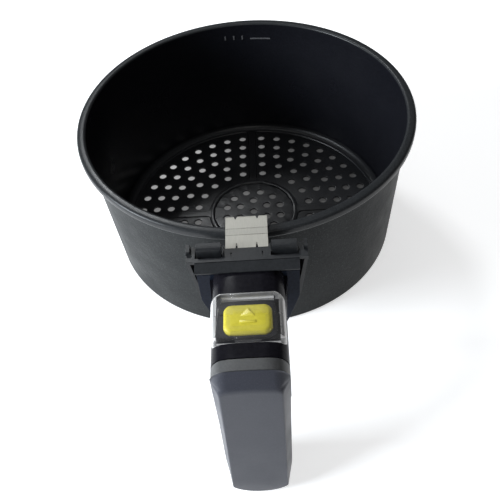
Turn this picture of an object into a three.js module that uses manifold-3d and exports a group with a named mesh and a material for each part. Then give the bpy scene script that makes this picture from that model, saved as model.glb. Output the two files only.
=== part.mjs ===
// Frying basket of a hot-air fryer, with its lift-out handle.
//
// A round sheet-metal basket with a perforated floor hangs from a steel strap that hooks over its rim.
// The strap ends in a plastic bracket, and a steel tang carries the load on into a grip that turns down.
// Under a clear hinged guard sits a sprung release button; its stem tips a rocker whose two hooks let go
// of the outer pan.
//
// Millimetres, +Z up. While it is built the basket's axis is x = y = 0, the handle points to -Y and the
// basket stands on z = 0. The finished object is shifted along Y, so that its origin is the centre of its
// bounding box at the bottom.

import * as THREE from "three";
import { mergeVertices } from "three/addons/utils/BufferGeometryUtils.js";
import Module from "manifold-3d";

const wasm = await Module();
wasm.setup();

// ---------------------------------------------------------------- driving dimensions
const GAP = 0.3; // clearance kept between touching pieces

// basket
const RIM_RADIUS = 101.5;
const RIM_TOP = 91.8;
const LIP_HEIGHT = 5;
const WALL_TOP_RADIUS = 97.1; // outside of the wall, just under the lip
const WALL_BASE_RADIUS = 93.6; // outside of the wall, at the bottom
const SHEET = 1;
const BASE_CORNER = 2;
const FLANGE_RADIUS = 84.5; // inner edge of the in-turned base flange
const WALL_SEGMENTS = 64;

// perforated floor
const FLOOR_TOP = 2.3;
const FLOOR_RADIUS = 91.4;
const HOLE_RADIUS = 2.6;
const HOLE_SIDES = 6;
const HOLE_ROWS = [[40, 5], [50, 6], [60, 8], [70, 9], [80, 10]]; // radius, holes in each quarter
const SPOKE_CLEARANCE = 7.32; // from a spoke's axis to the centre of the nearest holes
const CENTRE_RINGS = [[10.8, 6, 30], [19.5, 12, 15]]; // radius, holes, first angle in degrees
const RING_RADIUS = 29.2; // middle of the raised ring
const RING_WIDTH = 2.6;
const SPOKE_WIDTH = 4.4;
const RIB_HEIGHT = 1;

// strap over the rim
const STRAP_WIDTH = 21;
const STRAP_THICKNESS = 1.2;
const STRAP_PATH = [
  [-93.8, 76], [-91, 92.4], [-92, 93.9], [-99.8, 94.1],
  [-103.6, 93.2], [-113.2, 92.9], [-114.2, 91.9], [-114.2, 52],
];
const NOTCH_X = 5.5;
const STRAP_SLOT_X = 5;
const STRAP_RIVET_X = 6;
const STRAP_RIVET_Z = 82;

// bracket
const BASE_REAR_Y = -111.3; // face that seats against the outer pan
const BASE_FRONT_Y = -120.8;
const BASE_TOP = 95.3;
const BASE_WALL = 2;
// half-width, z
const BASE_OUTLINE = [[13, 30.3], [15, 32], [17, 38], [20.8, 50], [25.8, 67.3], [29.4, 95.3]];
const SHIELD_OUTLINE = [[12.2, 31], [14.2, 32.7], [16.3, 38.5], [20.1, 50.5], [24.9, 67.5], [25, 87.3]];
const BASE_SCREW = [12, 46]; // x, z
const SHIELD_THICKNESS = 1.8;
const EAR_TOP = 97.4;
const EAR_X = [27.4, 29.4];
const VISOR_HALF_WIDTH = 25.1;
const VISOR_SEAM_Y = -121.5; // shallow groove where the sloping visor starts
const HOOK_WINDOW_X = [11.6, 25];
const HOOK_WINDOW_FRONT_Y = -118.9;
const SADDLE_HALF_WIDTH = 11.1; // lowered middle of the bracket, in front of the strap
const SADDLE_TOP = 94.4;
const SADDLE_GROOVE_X = 7.6;

// latch rocker
const PIVOT_Y = -117.8;
const PIVOT_Z = 76.3;
const HUB_RADIUS = 2.4;
const AXLE_RADIUS = 1.2;
const HOOK_INNER_X = 12.2;
const HOOK_OUTER_X = 24.3;
const HOOK_TOP = 99.3;
const LEVER_HALF_WIDTH = 4;
const LEVER_TOP = 77.5;

// arm
const ARM_HALF_WIDTH = 17.5;
const DECK_Z = 92.3;
const SHOULDER = [8, 9.6]; // width and drop of the rounded shoulders
const ARM_REAR_Y = -123.2;
const ARM_FRONT_Y = -172.4;
const ARM_BOTTOM = 66.3;
const COVER_THICKNESS = 2;
const ARM_SCREWS = [[-10.8, -131.5], [10.8, -131.5], [-10.8, -150.5], [10.8, -150.5]];

// button, its well and its spring
const BUTTON_Y = -154.3;
const BUTTON_HALF = [10.9, 7.5];
const BUTTON_TOP = 96.3;
const BUTTON_BASE = 89.3;
const STEM_RADIUS = 2;
const WELL_FLOOR = 82.3;
const WELL_TOP = 93.4;
const SPRING_RADIUS = 4;
const SPRING_WIRE = 0.4;
const SPRING_TURNS = 4.5;

// guard lid
const LID_HALF_WIDTH = 16.85;
const LID_REAR_Y = -141.2;
const LID_FRONT_Y = -165;
const LID_CROWN = 99.6;
const LID_DROP = 5.6; // from the lid's crown to its outer edges
const LID_INNER_DROP = 3.6;
const LID_ARCH_POWER = 2.6;
const LID_HINGE = [-142.4, 93.7]; // y, z of the hinge axis
const LUG_X = [12.2, 14.35];
const LID_PIN_RADIUS = 0.6;
const LID_PIN_END = 15.4;

// collar and grip
const COLLAR_FRONT_Y = -178.6;
const FACE_TOP = [-184.8, 83.5]; // y, z at the top of the grip's flat front
const FACE_BOTTOM = [-197.4, 6];
const GRIP_HALF_WIDTH = [16.2, 17.4]; // at the bottom and at the top of the flat front
const FACE_HALF_WIDTH = 13.8; // of the flat front, between its chamfers
const FRONT_SHELL_DEPTH = 14;
const GRIP_DEPTH = 26;
const GRIP_SCREW_Z = [54, 26];
const TANG_HALF_WIDTH = 6;
const TANG_THICKNESS = 1.5;
const TANG_PATH = [
  [-116, 54], [-116, 68.2], [-117.3, 69.45], [-167.5, 69.45], [-169.6, 67.6], [-177.6, 20],
];
const TANG_RIVET_Z = [57.5, 64.5];

// ---------------------------------------------------------------- materials
function finish(color, roughness, metalness = 0) {
  return new THREE.MeshStandardMaterial({ color, roughness, metalness });
}
const coated = () => finish(0x2a2d30, 0.45, 0.3);
const steel = () => finish(0xb2aea0, 0.35, 1);
const blackPlastic = () => finish(0x303437, 0.55);
const glossPlastic = () => finish(0x19202d, 0.15);
const greyPlastic = () => finish(0x555858, 0.5);
const gripPlastic = () => finish(0x585c66, 0.4);
const yellowPlastic = () => finish(0xbeb246, 0.35);
function clearPlastic() {
  const material = finish(0xf2f4f4, 0.05);
  material.transparent = true;
  material.opacity = 0.3;
  return material;
}

// ---------------------------------------------------------------- solids and booleans
function solid(geometry) {
  geometry.deleteAttribute("normal");
  geometry.deleteAttribute("uv");
  const merged = mergeVertices(geometry, 1e-4);
  const vertProperties = new Float32Array(merged.attributes.position.array);
  const triVerts = new Uint32Array(merged.index.array);
  return new wasm.Manifold(new wasm.Mesh({ numProp: 3, vertProperties, triVerts }));
}

function toGeometry(manifold) {
  const mesh = manifold.getMesh();
  const geometry = new THREE.BufferGeometry();
  geometry.setAttribute("position", new THREE.BufferAttribute(mesh.vertProperties, 3));
  geometry.setIndex(new THREE.BufferAttribute(mesh.triVerts, 1));
  geometry.computeVertexNormals();
  return geometry;
}

const join = (first, ...others) => others.reduce((sum, other) => sum.add(other), first);
const cut = (first, ...others) => others.reduce((rest, other) => rest.subtract(other), first);

function extrude(outline, depth, holes = []) {
  const shape = new THREE.Shape(outline.map(([a, b]) => new THREE.Vector2(a, b)));
  shape.holes = holes.map((hole) => new THREE.Path(hole.map(([a, b]) => new THREE.Vector2(a, b))));
  return new THREE.ExtrudeGeometry(shape, { depth, bevelEnabled: false });
}

// Prism along X between x0 and x1, from an outline of [y, z] points.
function prismX(outline, x0, x1) {
  const geometry = extrude(outline, x1 - x0);
  const basis = new THREE.Matrix4().makeBasis(
    new THREE.Vector3(0, 1, 0), new THREE.Vector3(0, 0, 1), new THREE.Vector3(1, 0, 0));
  geometry.applyMatrix4(basis);
  return solid(geometry.translate(x0, 0, 0));
}

// Prism along Y between rearY and frontY (the more negative), from an outline of [x, z] points.
function prismY(outline, rearY, frontY, holes = []) {
  const geometry = extrude(outline, rearY - frontY, holes);
  geometry.rotateX(Math.PI / 2);
  return solid(geometry.translate(0, rearY, 0));
}

// Prism along Z between z0 and z1, from an outline of [x, y] points.
function prismZ(outline, z0, z1, holes = []) {
  return solid(extrude(outline, z1 - z0, holes).translate(0, 0, z0));
}

function block(x0, x1, y0, y1, z0, z1) {
  const geometry = new THREE.BoxGeometry(x1 - x0, y1 - y0, z1 - z0);
  return solid(geometry.translate((x0 + x1) / 2, (y0 + y1) / 2, (z0 + z1) / 2));
}

function rodX(radius, x0, x1, y, z, sides = 16) {
  const geometry = new THREE.CylinderGeometry(radius, radius, x1 - x0, sides).rotateZ(Math.PI / 2);
  return solid(geometry.translate((x0 + x1) / 2, y, z));
}

function rodY(radius, y0, y1, x, z, sides = 16) {
  const geometry = new THREE.CylinderGeometry(radius, radius, y1 - y0, sides);
  return solid(geometry.translate(x, (y0 + y1) / 2, z));
}

function rodZ(radius, z0, z1, x, y, sides = 16) {
  const geometry = new THREE.CylinderGeometry(radius, radius, z1 - z0, sides).rotateX(Math.PI / 2);
  return solid(geometry.translate(x, y, (z0 + z1) / 2));
}

// ---------------------------------------------------------------- outlines
function circle(radius, sides, x = 0, y = 0, turn = 0) {
  const points = [];
  for (let i = 0; i < sides; i++) {
    const angle = turn + (i / sides) * 2 * Math.PI;
    points.push([x + radius * Math.cos(angle), y + radius * Math.sin(angle)]);
  }
  return points;
}

// Rectangle of half sizes [halfX, halfY] about (x, y), with rounded corners.
function roundedRectangle([halfX, halfY], radius, x = 0, y = 0, steps = 4) {
  const points = [];
  const corners = [[1, 1], [-1, 1], [-1, -1], [1, -1]];
  corners.forEach(([signX, signY], corner) => {
    for (let i = 0; i <= steps; i++) {
      const angle = (corner + i / steps) * (Math.PI / 2);
      points.push([
        x + signX * (halfX - radius) + radius * Math.cos(angle),
        y + signY * (halfY - radius) + radius * Math.sin(angle),
      ]);
    }
  });
  return points;
}

// Closed outline of a strip of even thickness that follows a path of points.
function strip(path, thickness) {
  const offset = (side) => path.map((point, i) => {
    const before = path[Math.max(i - 1, 0)];
    const after = path[Math.min(i + 1, path.length - 1)];
    const inward = new THREE.Vector2(point[0] - before[0], point[1] - before[1]).normalize();
    const outward = new THREE.Vector2(after[0] - point[0], after[1] - point[1]).normalize();
    const along = inward.clone().add(outward).normalize();
    const onePiece = i > 0 && i < path.length - 1;
    const mitre = onePiece ? 1 / Math.sqrt((1 + inward.dot(outward)) / 2) : 1;
    const reach = (side * mitre * thickness) / 2;
    return [point[0] - along.y * reach, point[1] + along.x * reach];
  });
  return [...offset(1), ...offset(-1).reverse()];
}

// A half outline of [half-width, height] points, mirrored into a closed outline.
function mirrored(half) {
  return [...half, ...half.map(([x, z]) => [-x, z]).reverse()];
}

// A span [inner, outer] along X on the right side (1), or its mirror image on the left (-1).
function sideSpan(side, [inner, outer]) {
  return side < 0 ? [-outer, -inner] : [inner, outer];
}

// Top edge of the arm's section: a slight crown between two rounded shoulders.
function deckHeight(x, top = DECK_Z) {
  const crown = 0.4;
  const flat = ARM_HALF_WIDTH - SHOULDER[0];
  const beyond = Math.max(Math.abs(x) - flat, 0);
  const share = Math.min(beyond / SHOULDER[0], 1);
  const drop = SHOULDER[1] * (1 - Math.sqrt(1 - share * share));
  return top - crown * Math.min(Math.abs(x) / flat, 1) ** 2 - drop;
}

function armSection(bottom) {
  const shoulder = [0, 0.2, 0.8, 1.8, 3.2, 5].map((inset) => ARM_HALF_WIDTH - inset);
  return mirrored([[ARM_HALF_WIDTH, bottom], ...[...shoulder, 9, 5].map((x) => [x, deckHeight(x)])]);
}

// Solid lofted through closed rings of [x, y, z] points that run across the object, with flat ends.
function loft(rings) {
  const count = rings[0].length;
  const positions = rings.flat(2);
  const index = [];
  for (let ring = 0; ring + 1 < rings.length; ring++) {
    for (let i = 0; i < count; i++) {
      const a = ring * count + i;
      const b = ring * count + ((i + 1) % count);
      index.push(a, b, b + count, a, b + count, a + count);
    }
  }
  const flat = (ring) => ring.map(([, y, z]) => new THREE.Vector2(y, z));
  const last = (rings.length - 1) * count;
  for (const [a, b, c] of THREE.ShapeUtils.triangulateShape(flat(rings[0]), [])) {
    index.push(a, c, b);
  }
  for (const [a, b, c] of THREE.ShapeUtils.triangulateShape(flat(rings.at(-1)), [])) {
    index.push(last + a, last + b, last + c);
  }
  const geometry = new THREE.BufferGeometry();
  geometry.setAttribute("position", new THREE.Float32BufferAttribute(positions, 3));
  geometry.setIndex(index);
  return solid(geometry);
}

// ---------------------------------------------------------------- fasteners
// Pan-head screw along Y: the head lies between headY and headY + headLength.
function screwY(x, z, tipY, headY, headLength = 1.8, headRadius = 2.7, shank = 1.4) {
  const head = rodY(headRadius, headY, headY + headLength, x, z, 12);
  return join(rodY(shank, tipY, headY + 0.1, x, z, 10), head);
}

function rivetY(x, z, frontY, rearY, head, headRadius, shank) {
  return join(
    rodY(shank, frontY, rearY, x, z, 10),
    rodY(headRadius, frontY - head, frontY, x, z, 12),
    rodY(headRadius, rearY, rearY + head, x, z, 12));
}

// ---------------------------------------------------------------- basket
function basketWall() {
  const lipFoot = RIM_TOP - LIP_HEIGHT;
  const inner = WALL_TOP_RADIUS - SHEET;
  const profile = [
    [FLANGE_RADIUS, 0], [WALL_BASE_RADIUS - BASE_CORNER, 0], [WALL_BASE_RADIUS - 0.6, 0.6],
    [WALL_BASE_RADIUS, BASE_CORNER], [WALL_TOP_RADIUS, lipFoot], [RIM_RADIUS - 1.1, lipFoot],
    [RIM_RADIUS, lipFoot + 1.4], [RIM_RADIUS, RIM_TOP - 1.6], [RIM_RADIUS - 1.1, RIM_TOP - 0.3],
    [RIM_RADIUS - 2.7, RIM_TOP], [WALL_TOP_RADIUS, RIM_TOP - 0.4], [inner, RIM_TOP - 1.8],
    [inner, lipFoot - 1], [WALL_BASE_RADIUS - SHEET, BASE_CORNER + 0.4],
    [WALL_BASE_RADIUS - BASE_CORNER, SHEET], [FLANGE_RADIUS, SHEET],
  ];
  const points = [...profile, profile[0]].map(([r, z]) => new THREE.Vector2(r, z));
  const wall = solid(new THREE.LatheGeometry(points, WALL_SEGMENTS).rotateX(Math.PI / 2));
  const holes = [-STRAP_RIVET_X, STRAP_RIVET_X].map((x) => rodY(1.8, -99, -92, x, STRAP_RIVET_Z, 8));
  return cut(wall, ...holes);
}

function floorHoles() {
  const centres = [[0, 0]];
  for (const [radius, count, first] of CENTRE_RINGS) {
    for (let i = 0; i < count; i++) {
      const angle = THREE.MathUtils.degToRad(first + (360 / count) * i);
      centres.push([radius * Math.cos(angle), radius * Math.sin(angle)]);
    }
  }
  for (const [radius, count] of HOLE_ROWS) {
    const margin = Math.asin(SPOKE_CLEARANCE / radius);
    const pitch = (Math.PI / 2 - 2 * margin) / (count - 1);
    for (let quarter = 0; quarter < 4; quarter++) {
      for (let i = 0; i < count; i++) {
        const angle = quarter * (Math.PI / 2) + margin + pitch * i;
        centres.push([radius * Math.cos(angle), radius * Math.sin(angle)]);
      }
    }
  }
  return centres.map(([x, y]) => circle(HOLE_RADIUS, HOLE_SIDES, x, y).reverse());
}

function basketFloor() {
  const plate = prismZ(circle(FLOOR_RADIUS, WALL_SEGMENTS), FLOOR_TOP - SHEET, FLOOR_TOP, floorHoles());
  const ribFoot = FLOOR_TOP - SHEET / 2;
  const ribTop = FLOOR_TOP + RIB_HEIGHT;
  const ringInner = RING_RADIUS - RING_WIDTH / 2;
  const ringOuter = RING_RADIUS + RING_WIDTH / 2;
  const ring = prismZ(circle(ringOuter, 40), ribFoot, ribTop, [circle(ringInner, 40).reverse()]);
  const spokeEnd = FLOOR_RADIUS - 2;
  const half = SPOKE_WIDTH / 2;
  const spokes = [
    block(RING_RADIUS, spokeEnd, -half, half, ribFoot, ribTop),
    block(-spokeEnd, -RING_RADIUS, -half, half, ribFoot, ribTop),
    block(-half, half, RING_RADIUS, spokeEnd, ribFoot, ribTop),
    block(-half, half, -spokeEnd, -RING_RADIUS, ribFoot, ribTop),
  ];
  return join(plate, ring, ...spokes);
}

// ---------------------------------------------------------------- strap, tang and their rivets
function rimStrap() {
  const half = STRAP_WIDTH / 2;
  const blank = prismX(strip(STRAP_PATH, STRAP_THICKNESS), -half, half);
  const cuts = [];
  for (const side of [-1, 1]) {
    const x = side * NOTCH_X;
    cuts.push(prismZ([[x - 1.4, -89], [x, -93.4], [x + 1.4, -89]], 90, 96));
    cuts.push(block(side * STRAP_SLOT_X - 0.6, side * STRAP_SLOT_X + 0.6, -113, -109.3, 91, 95));
    cuts.push(rodY(1.8, -96, -88, side * STRAP_RIVET_X, STRAP_RIVET_Z, 10));
  }
  for (const z of TANG_RIVET_Z) {
    cuts.push(rodY(1.6, -116, -112, 0, z, 10));
  }
  return cut(blank, ...cuts);
}

function handleTang() {
  const bar = prismX(strip(TANG_PATH, TANG_THICKNESS), -TANG_HALF_WIDTH, TANG_HALF_WIDTH);
  const rivetHoles = TANG_RIVET_Z.map((z) => rodY(1.6, -118, -114, 0, z, 10));
  const screwHoles = GRIP_SCREW_Z.map((z) => rodY(1.9, -182, -164, 0, z, 10));
  return cut(bar, ...rivetHoles, ...screwHoles);
}

// ---------------------------------------------------------------- bracket
function handleBase() {
  const shell = prismY(mirrored(BASE_OUTLINE), BASE_REAR_Y, BASE_FRONT_Y);
  const pocketOutline = mirrored(BASE_OUTLINE.map(([x, z], i, all) => [
    x - BASE_WALL, i === 0 ? z + BASE_WALL : i === all.length - 1 ? z - BASE_WALL : z]));
  const pocket = prismY(pocketOutline, BASE_REAR_Y - 1.2, BASE_FRONT_Y - 1);
  const visor = prismX([
    [-119.4, BASE_TOP], [-119.4, 87.6], [-122.8, 87.6], [-122.8, DECK_Z + 0.4],
    [-126.6, DECK_Z + 0.4], [-126.6, DECK_Z + 1], [-121.6, BASE_TOP],
  ], -VISOR_HALF_WIDTH, VISOR_HALF_WIDTH);
  const pieces = [cut(shell, pocket), visor];
  const strapRoom = STRAP_WIDTH / 2 + GAP;
  const seamEnd = VISOR_HALF_WIDTH + 1;
  const cuts = [
    block(-strapRoom, strapRoom, -112.6, -110, 91.6, 96),
    block(-strapRoom, strapRoom, -115.1, -110, 91.6, 93.7),
    block(-SADDLE_HALF_WIDTH, SADDLE_HALF_WIDTH, HOOK_WINDOW_FRONT_Y, -110, SADDLE_TOP, 96),
    block(-seamEnd, seamEnd, VISOR_SEAM_Y - 0.2, VISOR_SEAM_Y + 0.2, BASE_TOP - 0.5, 96),
  ];
  for (const side of [-1, 1]) {
    const [x0, x1] = sideSpan(side, EAR_X);
    pieces.push(block(x0, x1, -116, BASE_REAR_Y, BASE_TOP - 4, EAR_TOP));
    pieces.push(rodY(3.4, -117.2, BASE_REAR_Y - 0.1, side * BASE_SCREW[0], BASE_SCREW[1], 14));
    const [windowStart, windowEnd] = sideSpan(side, HOOK_WINDOW_X);
    cuts.push(block(windowStart, windowEnd, HOOK_WINDOW_FRONT_Y, -110, 90, 96));
    const grooveX = side * SADDLE_GROOVE_X;
    cuts.push(block(grooveX - 0.3, grooveX + 0.3, HOOK_WINDOW_FRONT_Y, -115.4, SADDLE_TOP - 0.5, 96));
    cuts.push(rodY(1.7, -118, -110, side * BASE_SCREW[0], BASE_SCREW[1], 10));
    cuts.push(rodY(3, -113.4, -110, side * BASE_SCREW[0], BASE_SCREW[1], 12));
  }
  cuts.push(rodX(AXLE_RADIUS + GAP, -26.6, 26.6, PIVOT_Y, PIVOT_Z, 12));
  return cut(join(...pieces), ...cuts);
}

function shieldPlate() {
  const frontY = BASE_FRONT_Y - GAP - SHIELD_THICKNESS;
  const plate = prismY(mirrored(SHIELD_OUTLINE), BASE_FRONT_Y - GAP, frontY);
  const window = block(-7.5, 7.5, frontY - 1, BASE_FRONT_Y + 1, 67.8, 81);
  const [screwX, screwZ] = BASE_SCREW;
  const bosses = [-screwX, screwX].map((x) => rodY(2.6, BASE_FRONT_Y - 1, -117.5, x, screwZ, 14));
  const bores = [-screwX, screwX].map((x) => rodY(1.7, -122, -116, x, screwZ, 10));
  return cut(join(plate, ...bosses), window, ...bores);
}

// ---------------------------------------------------------------- latch
function latchRocker() {
  const hookOutline = [
    [-115.4, HOOK_TOP], [-116.3, HOOK_TOP - 0.4], [-116.9, HOOK_TOP - 1.4], [-117, 95], [-117.4, 90],
    [-118.8, PIVOT_Z], [-115.8, PIVOT_Z], [-114.6, 92], [-112.6, 95.4], [-112.6, HOOK_TOP],
  ];
  const hub = rodX(HUB_RADIUS, -HOOK_OUTER_X, HOOK_OUTER_X, PIVOT_Y, PIVOT_Z, 16);
  const hooks = [
    prismX(hookOutline, -HOOK_OUTER_X, -HOOK_INNER_X),
    prismX(hookOutline, HOOK_INNER_X, HOOK_OUTER_X),
  ];
  const tipY = BUTTON_Y - 3;
  const lever = block(-LEVER_HALF_WIDTH, LEVER_HALF_WIDTH, tipY, PIVOT_Y, LEVER_TOP - 3.2, LEVER_TOP);
  const bore = rodX(AXLE_RADIUS + GAP, -HOOK_OUTER_X - 1, HOOK_OUTER_X + 1, PIVOT_Y, PIVOT_Z, 12);
  return cut(join(hub, ...hooks, lever), bore);
}

// ---------------------------------------------------------------- arm
function armHousing() {
  const coverTop = ARM_BOTTOM + COVER_THICKNESS;
  const body = prismY(armSection(coverTop + GAP), ARM_REAR_Y, ARM_FRONT_Y);
  const wall = 2.2;
  const cavitySide = ARM_HALF_WIDTH - wall;
  const cavityTop = DECK_Z - 2.7;
  const cavity = prismY(mirrored([[cavitySide, coverTop], [cavitySide, 84.5], [11, cavityTop]]),
    ARM_REAR_Y - wall, ARM_FRONT_Y + wall);
  const rearWindow = block(-7.5, 7.5, ARM_REAR_Y - wall - 1, ARM_REAR_Y + 1, coverTop - 1, 81);
  const wellHole = prismZ(roundedRectangle([12.2, 8.7], 3.9, 0, BUTTON_Y), 85, 95);
  const flare = [[16.5, -137], [17.4, -137], [18.8, -125.2], [19, ARM_REAR_Y], [16.5, ARM_REAR_Y]];
  const mirroredFlare = flare.map(([x, y]) => [-x, y]).reverse();
  const roots = [flare, mirroredFlare].map((outline) => prismZ(outline, coverTop + GAP, DECK_Z - 8.5));
  const pieces = [cut(body, cavity), ...roots];
  const cuts = [rearWindow, wellHole];
  for (const [x, y] of ARM_SCREWS) {
    pieces.push(rodZ(2.8, coverTop + GAP, 79, x, y, 12));
    const [web0, web1] = sideSpan(Math.sign(x), [Math.abs(x), cavitySide + 0.5]);
    pieces.push(block(web0, web1, y - 0.8, y + 0.8, coverTop + GAP, 79));
    cuts.push(rodZ(1.4, coverTop, 76, x, y, 10));
  }
  for (const side of [-1, 1]) {
    const [x0, x1] = sideSpan(side, LUG_X);
    pieces.push(block(x0, x1, LID_HINGE[0] - 1.5, LID_HINGE[0] + 1.5, 88.6, LID_HINGE[1]));
    pieces.push(rodX(1.5, x0, x1, LID_HINGE[0], LID_HINGE[1], 16));
    cuts.push(rodX(LID_PIN_RADIUS + GAP, x0 - 1, x1 + 1, LID_HINGE[0], LID_HINGE[1], 10));
  }
  return cut(join(...pieces), ...cuts);
}

function armBottomCover() {
  const centreY = (ARM_REAR_Y + ARM_FRONT_Y) / 2;
  const half = [ARM_HALF_WIDTH, (ARM_REAR_Y - ARM_FRONT_Y) / 2];
  const plate = prismZ(roundedRectangle(half, 1, 0, centreY, 2), ARM_BOTTOM, ARM_BOTTOM + COVER_THICKNESS);
  const tangSlot = block(-7, 7, -172, -166.4, ARM_BOTTOM - 1, ARM_BOTTOM + 4);
  const rear = block(-7, 7, -126, -122, ARM_BOTTOM + 1.6, ARM_BOTTOM + 4);
  const screwHoles = ARM_SCREWS.map(([x, y]) => rodZ(1.4, ARM_BOTTOM - 1, ARM_BOTTOM + 4, x, y, 10));
  const headSeats = ARM_SCREWS.map(([x, y]) => rodZ(2.4, ARM_BOTTOM - 1, ARM_BOTTOM + 1.1, x, y, 12));
  return cut(plate, tangSlot, rear, ...screwHoles, ...headSeats);
}

function armScrew([x, y]) {
  const head = rodZ(2.1, ARM_BOTTOM + 0.1, ARM_BOTTOM + 0.8, x, y, 12);
  return join(head, rodZ(1.1, ARM_BOTTOM + 0.7, 75, x, y, 10));
}

// ---------------------------------------------------------------- button group
function buttonWell() {
  const tub = prismZ(roundedRectangle([11.9, 8.4], 3.6, 0, BUTTON_Y), WELL_FLOOR - 1.5, WELL_TOP);
  const flange = prismZ(roundedRectangle([12.9, 8.9], 3.4, 0, BUTTON_Y), DECK_Z + GAP, WELL_TOP);
  const inside = prismZ(roundedRectangle([11.2, 7.8], 3.8, 0, BUTTON_Y), WELL_FLOOR, WELL_TOP + 1);
  const stemHole = rodZ(STEM_RADIUS + 0.4, WELL_FLOOR - 3, WELL_FLOOR + 1, 0, BUTTON_Y, 14);
  return cut(join(tub, flange), inside, stemHole);
}

function releaseButton() {
  const bevel = 0.9;
  const [halfX, halfY] = BUTTON_HALF;
  const core = prismZ(roundedRectangle([halfX, halfY], 3.5, 0, BUTTON_Y), BUTTON_BASE, BUTTON_TOP - bevel);
  const topHalf = [halfX - bevel, halfY - bevel];
  const top = prismZ(roundedRectangle(topHalf, 3, 0, BUTTON_Y), BUTTON_BASE + 1, BUTTON_TOP);
  const stem = rodZ(STEM_RADIUS, LEVER_TOP + GAP, BUTTON_BASE + 1, 0, BUTTON_Y, 14);
  const markTop = BUTTON_TOP + 0.35;
  const corners = [[-3.6, BUTTON_Y + 0.3], [3.6, BUTTON_Y + 0.3], [0, BUTTON_Y + 4.6]];
  const triangle = prismZ(corners, BUTTON_TOP - 1, markTop);
  const bar = block(-3.6, 3.6, BUTTON_Y - 3.2, BUTTON_Y - 1.6, BUTTON_TOP - 1, markTop);
  return join(core, top, stem, triangle, bar);
}

class Helix extends THREE.Curve {
  constructor(radius, turns, z0, z1, centreY) {
    super();
    Object.assign(this, { radius, turns, z0, z1, centreY });
  }

  getPoint(t, target = new THREE.Vector3()) {
    const angle = t * this.turns * 2 * Math.PI;
    return target.set(
      this.radius * Math.cos(angle),
      this.centreY + this.radius * Math.sin(angle),
      this.z0 + (this.z1 - this.z0) * t);
  }
}

function buttonSpring() {
  const clear = GAP + SPRING_WIRE;
  const path = new Helix(SPRING_RADIUS, SPRING_TURNS, WELL_FLOOR + clear, BUTTON_BASE - clear, BUTTON_Y);
  const wire = new THREE.Shape(circle(SPRING_WIRE, 6).map(([x, y]) => new THREE.Vector2(x, y)));
  const steps = Math.round(SPRING_TURNS * 14);
  return solid(new THREE.ExtrudeGeometry(wire, { steps, extrudePath: path, bevelEnabled: false }));
}

// ---------------------------------------------------------------- guard lid
// Section of the lid across X: an arched top with rounded edges, over a foot that follows the deck.
function lidSection(halfWidth, crown, drop, foot) {
  const stations = [1, 0.94, 0.86, 0.75, 0.6, 0.4, 0.2, 0];
  const top = stations.map((share) => [halfWidth * share, crown - drop * share ** LID_ARCH_POWER]);
  const under = [0, 6, 12, 14.3, 15.8].map((x) => [x, foot(x)]).filter(([x]) => x < halfWidth);
  const half = [...under.slice(1), [halfWidth, foot(halfWidth)], ...top.slice(0, -1)];
  return [[0, foot(0)], ...half, [0, crown], ...half.map(([x, z]) => [-x, z]).reverse()];
}

function guardLid() {
  const sideWall = 2.2;
  const endWall = 1.5;
  const foot = (x) => deckHeight(Math.min(x, LID_HALF_WIDTH)) + GAP;
  const blank = prismY(lidSection(LID_HALF_WIDTH, LID_CROWN, LID_DROP, foot), LID_REAR_Y, LID_FRONT_Y);
  const centreY = (LID_REAR_Y + LID_FRONT_Y) / 2;
  const plan = roundedRectangle([LID_HALF_WIDTH, (LID_REAR_Y - LID_FRONT_Y) / 2], 2.6, 0, centreY, 4);
  const outer = blank.intersect(prismZ(plan, 80, 110));
  const low = () => 80;
  const inner = prismY(lidSection(LID_HALF_WIDTH - sideWall, LID_CROWN - 1.5, LID_INNER_DROP, low),
    LID_REAR_Y - endWall, LID_FRONT_Y + endWall);
  const heel = block(-20, 20, LID_REAR_Y - 1.2, LID_REAR_Y + 1, 80, LID_HINGE[1]);
  const knuckleEnd = LID_PIN_END - 0.2;
  const knuckle = rodX(1.2, -knuckleEnd, knuckleEnd, LID_HINGE[0], LID_HINGE[1], 16);
  const tab = block(-5.8, 5.8, LID_FRONT_Y - 1.5, LID_FRONT_Y + 0.5, 94.4, 96.2);
  const cuts = [];
  for (const side of [-1, 1]) {
    const [x0, x1] = sideSpan(side, [LUG_X[0] - GAP, LID_HALF_WIDTH - sideWall]);
    cuts.push(block(x0, x1, LID_REAR_Y - 4, LID_REAR_Y + 1, 80, LID_HINGE[1] + 2));
    const [pin0, pin1] = sideSpan(side, [LUG_X[1] - GAP, LID_PIN_END + GAP]);
    cuts.push(rodX(LID_PIN_RADIUS + GAP, pin0, pin1, LID_HINGE[0], LID_HINGE[1], 10));
  }
  const shell = cut(outer, inner, heel);
  return cut(join(shell, knuckle, tab), ...cuts);
}

// ---------------------------------------------------------------- grip
// Y of the grip's flat front at height z.
function faceY(z) {
  const slope = (FACE_TOP[0] - FACE_BOTTOM[0]) / (FACE_TOP[1] - FACE_BOTTOM[1]);
  return FACE_TOP[0] + (z - FACE_TOP[1]) * slope;
}

function gripHalfWidth(z) {
  const share = (z - FACE_BOTTOM[1]) / (FACE_TOP[1] - FACE_BOTTOM[1]);
  return GRIP_HALF_WIDTH[0] + (GRIP_HALF_WIDTH[1] - GRIP_HALF_WIDTH[0]) * share;
}

function ringAt(halfWidth, outline) {
  return outline.map(([y, z]) => [typeof halfWidth === "function" ? halfWidth(z) : halfWidth, y, z]);
}

function symmetricLoft(stations) {
  const right = stations.map(([halfWidth, outline]) => ringAt(halfWidth, outline));
  const left = right.map((ring) => ring.map(([x, y, z]) => [-x, y, z])).reverse();
  return loft([...left, ...right]);
}

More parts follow.
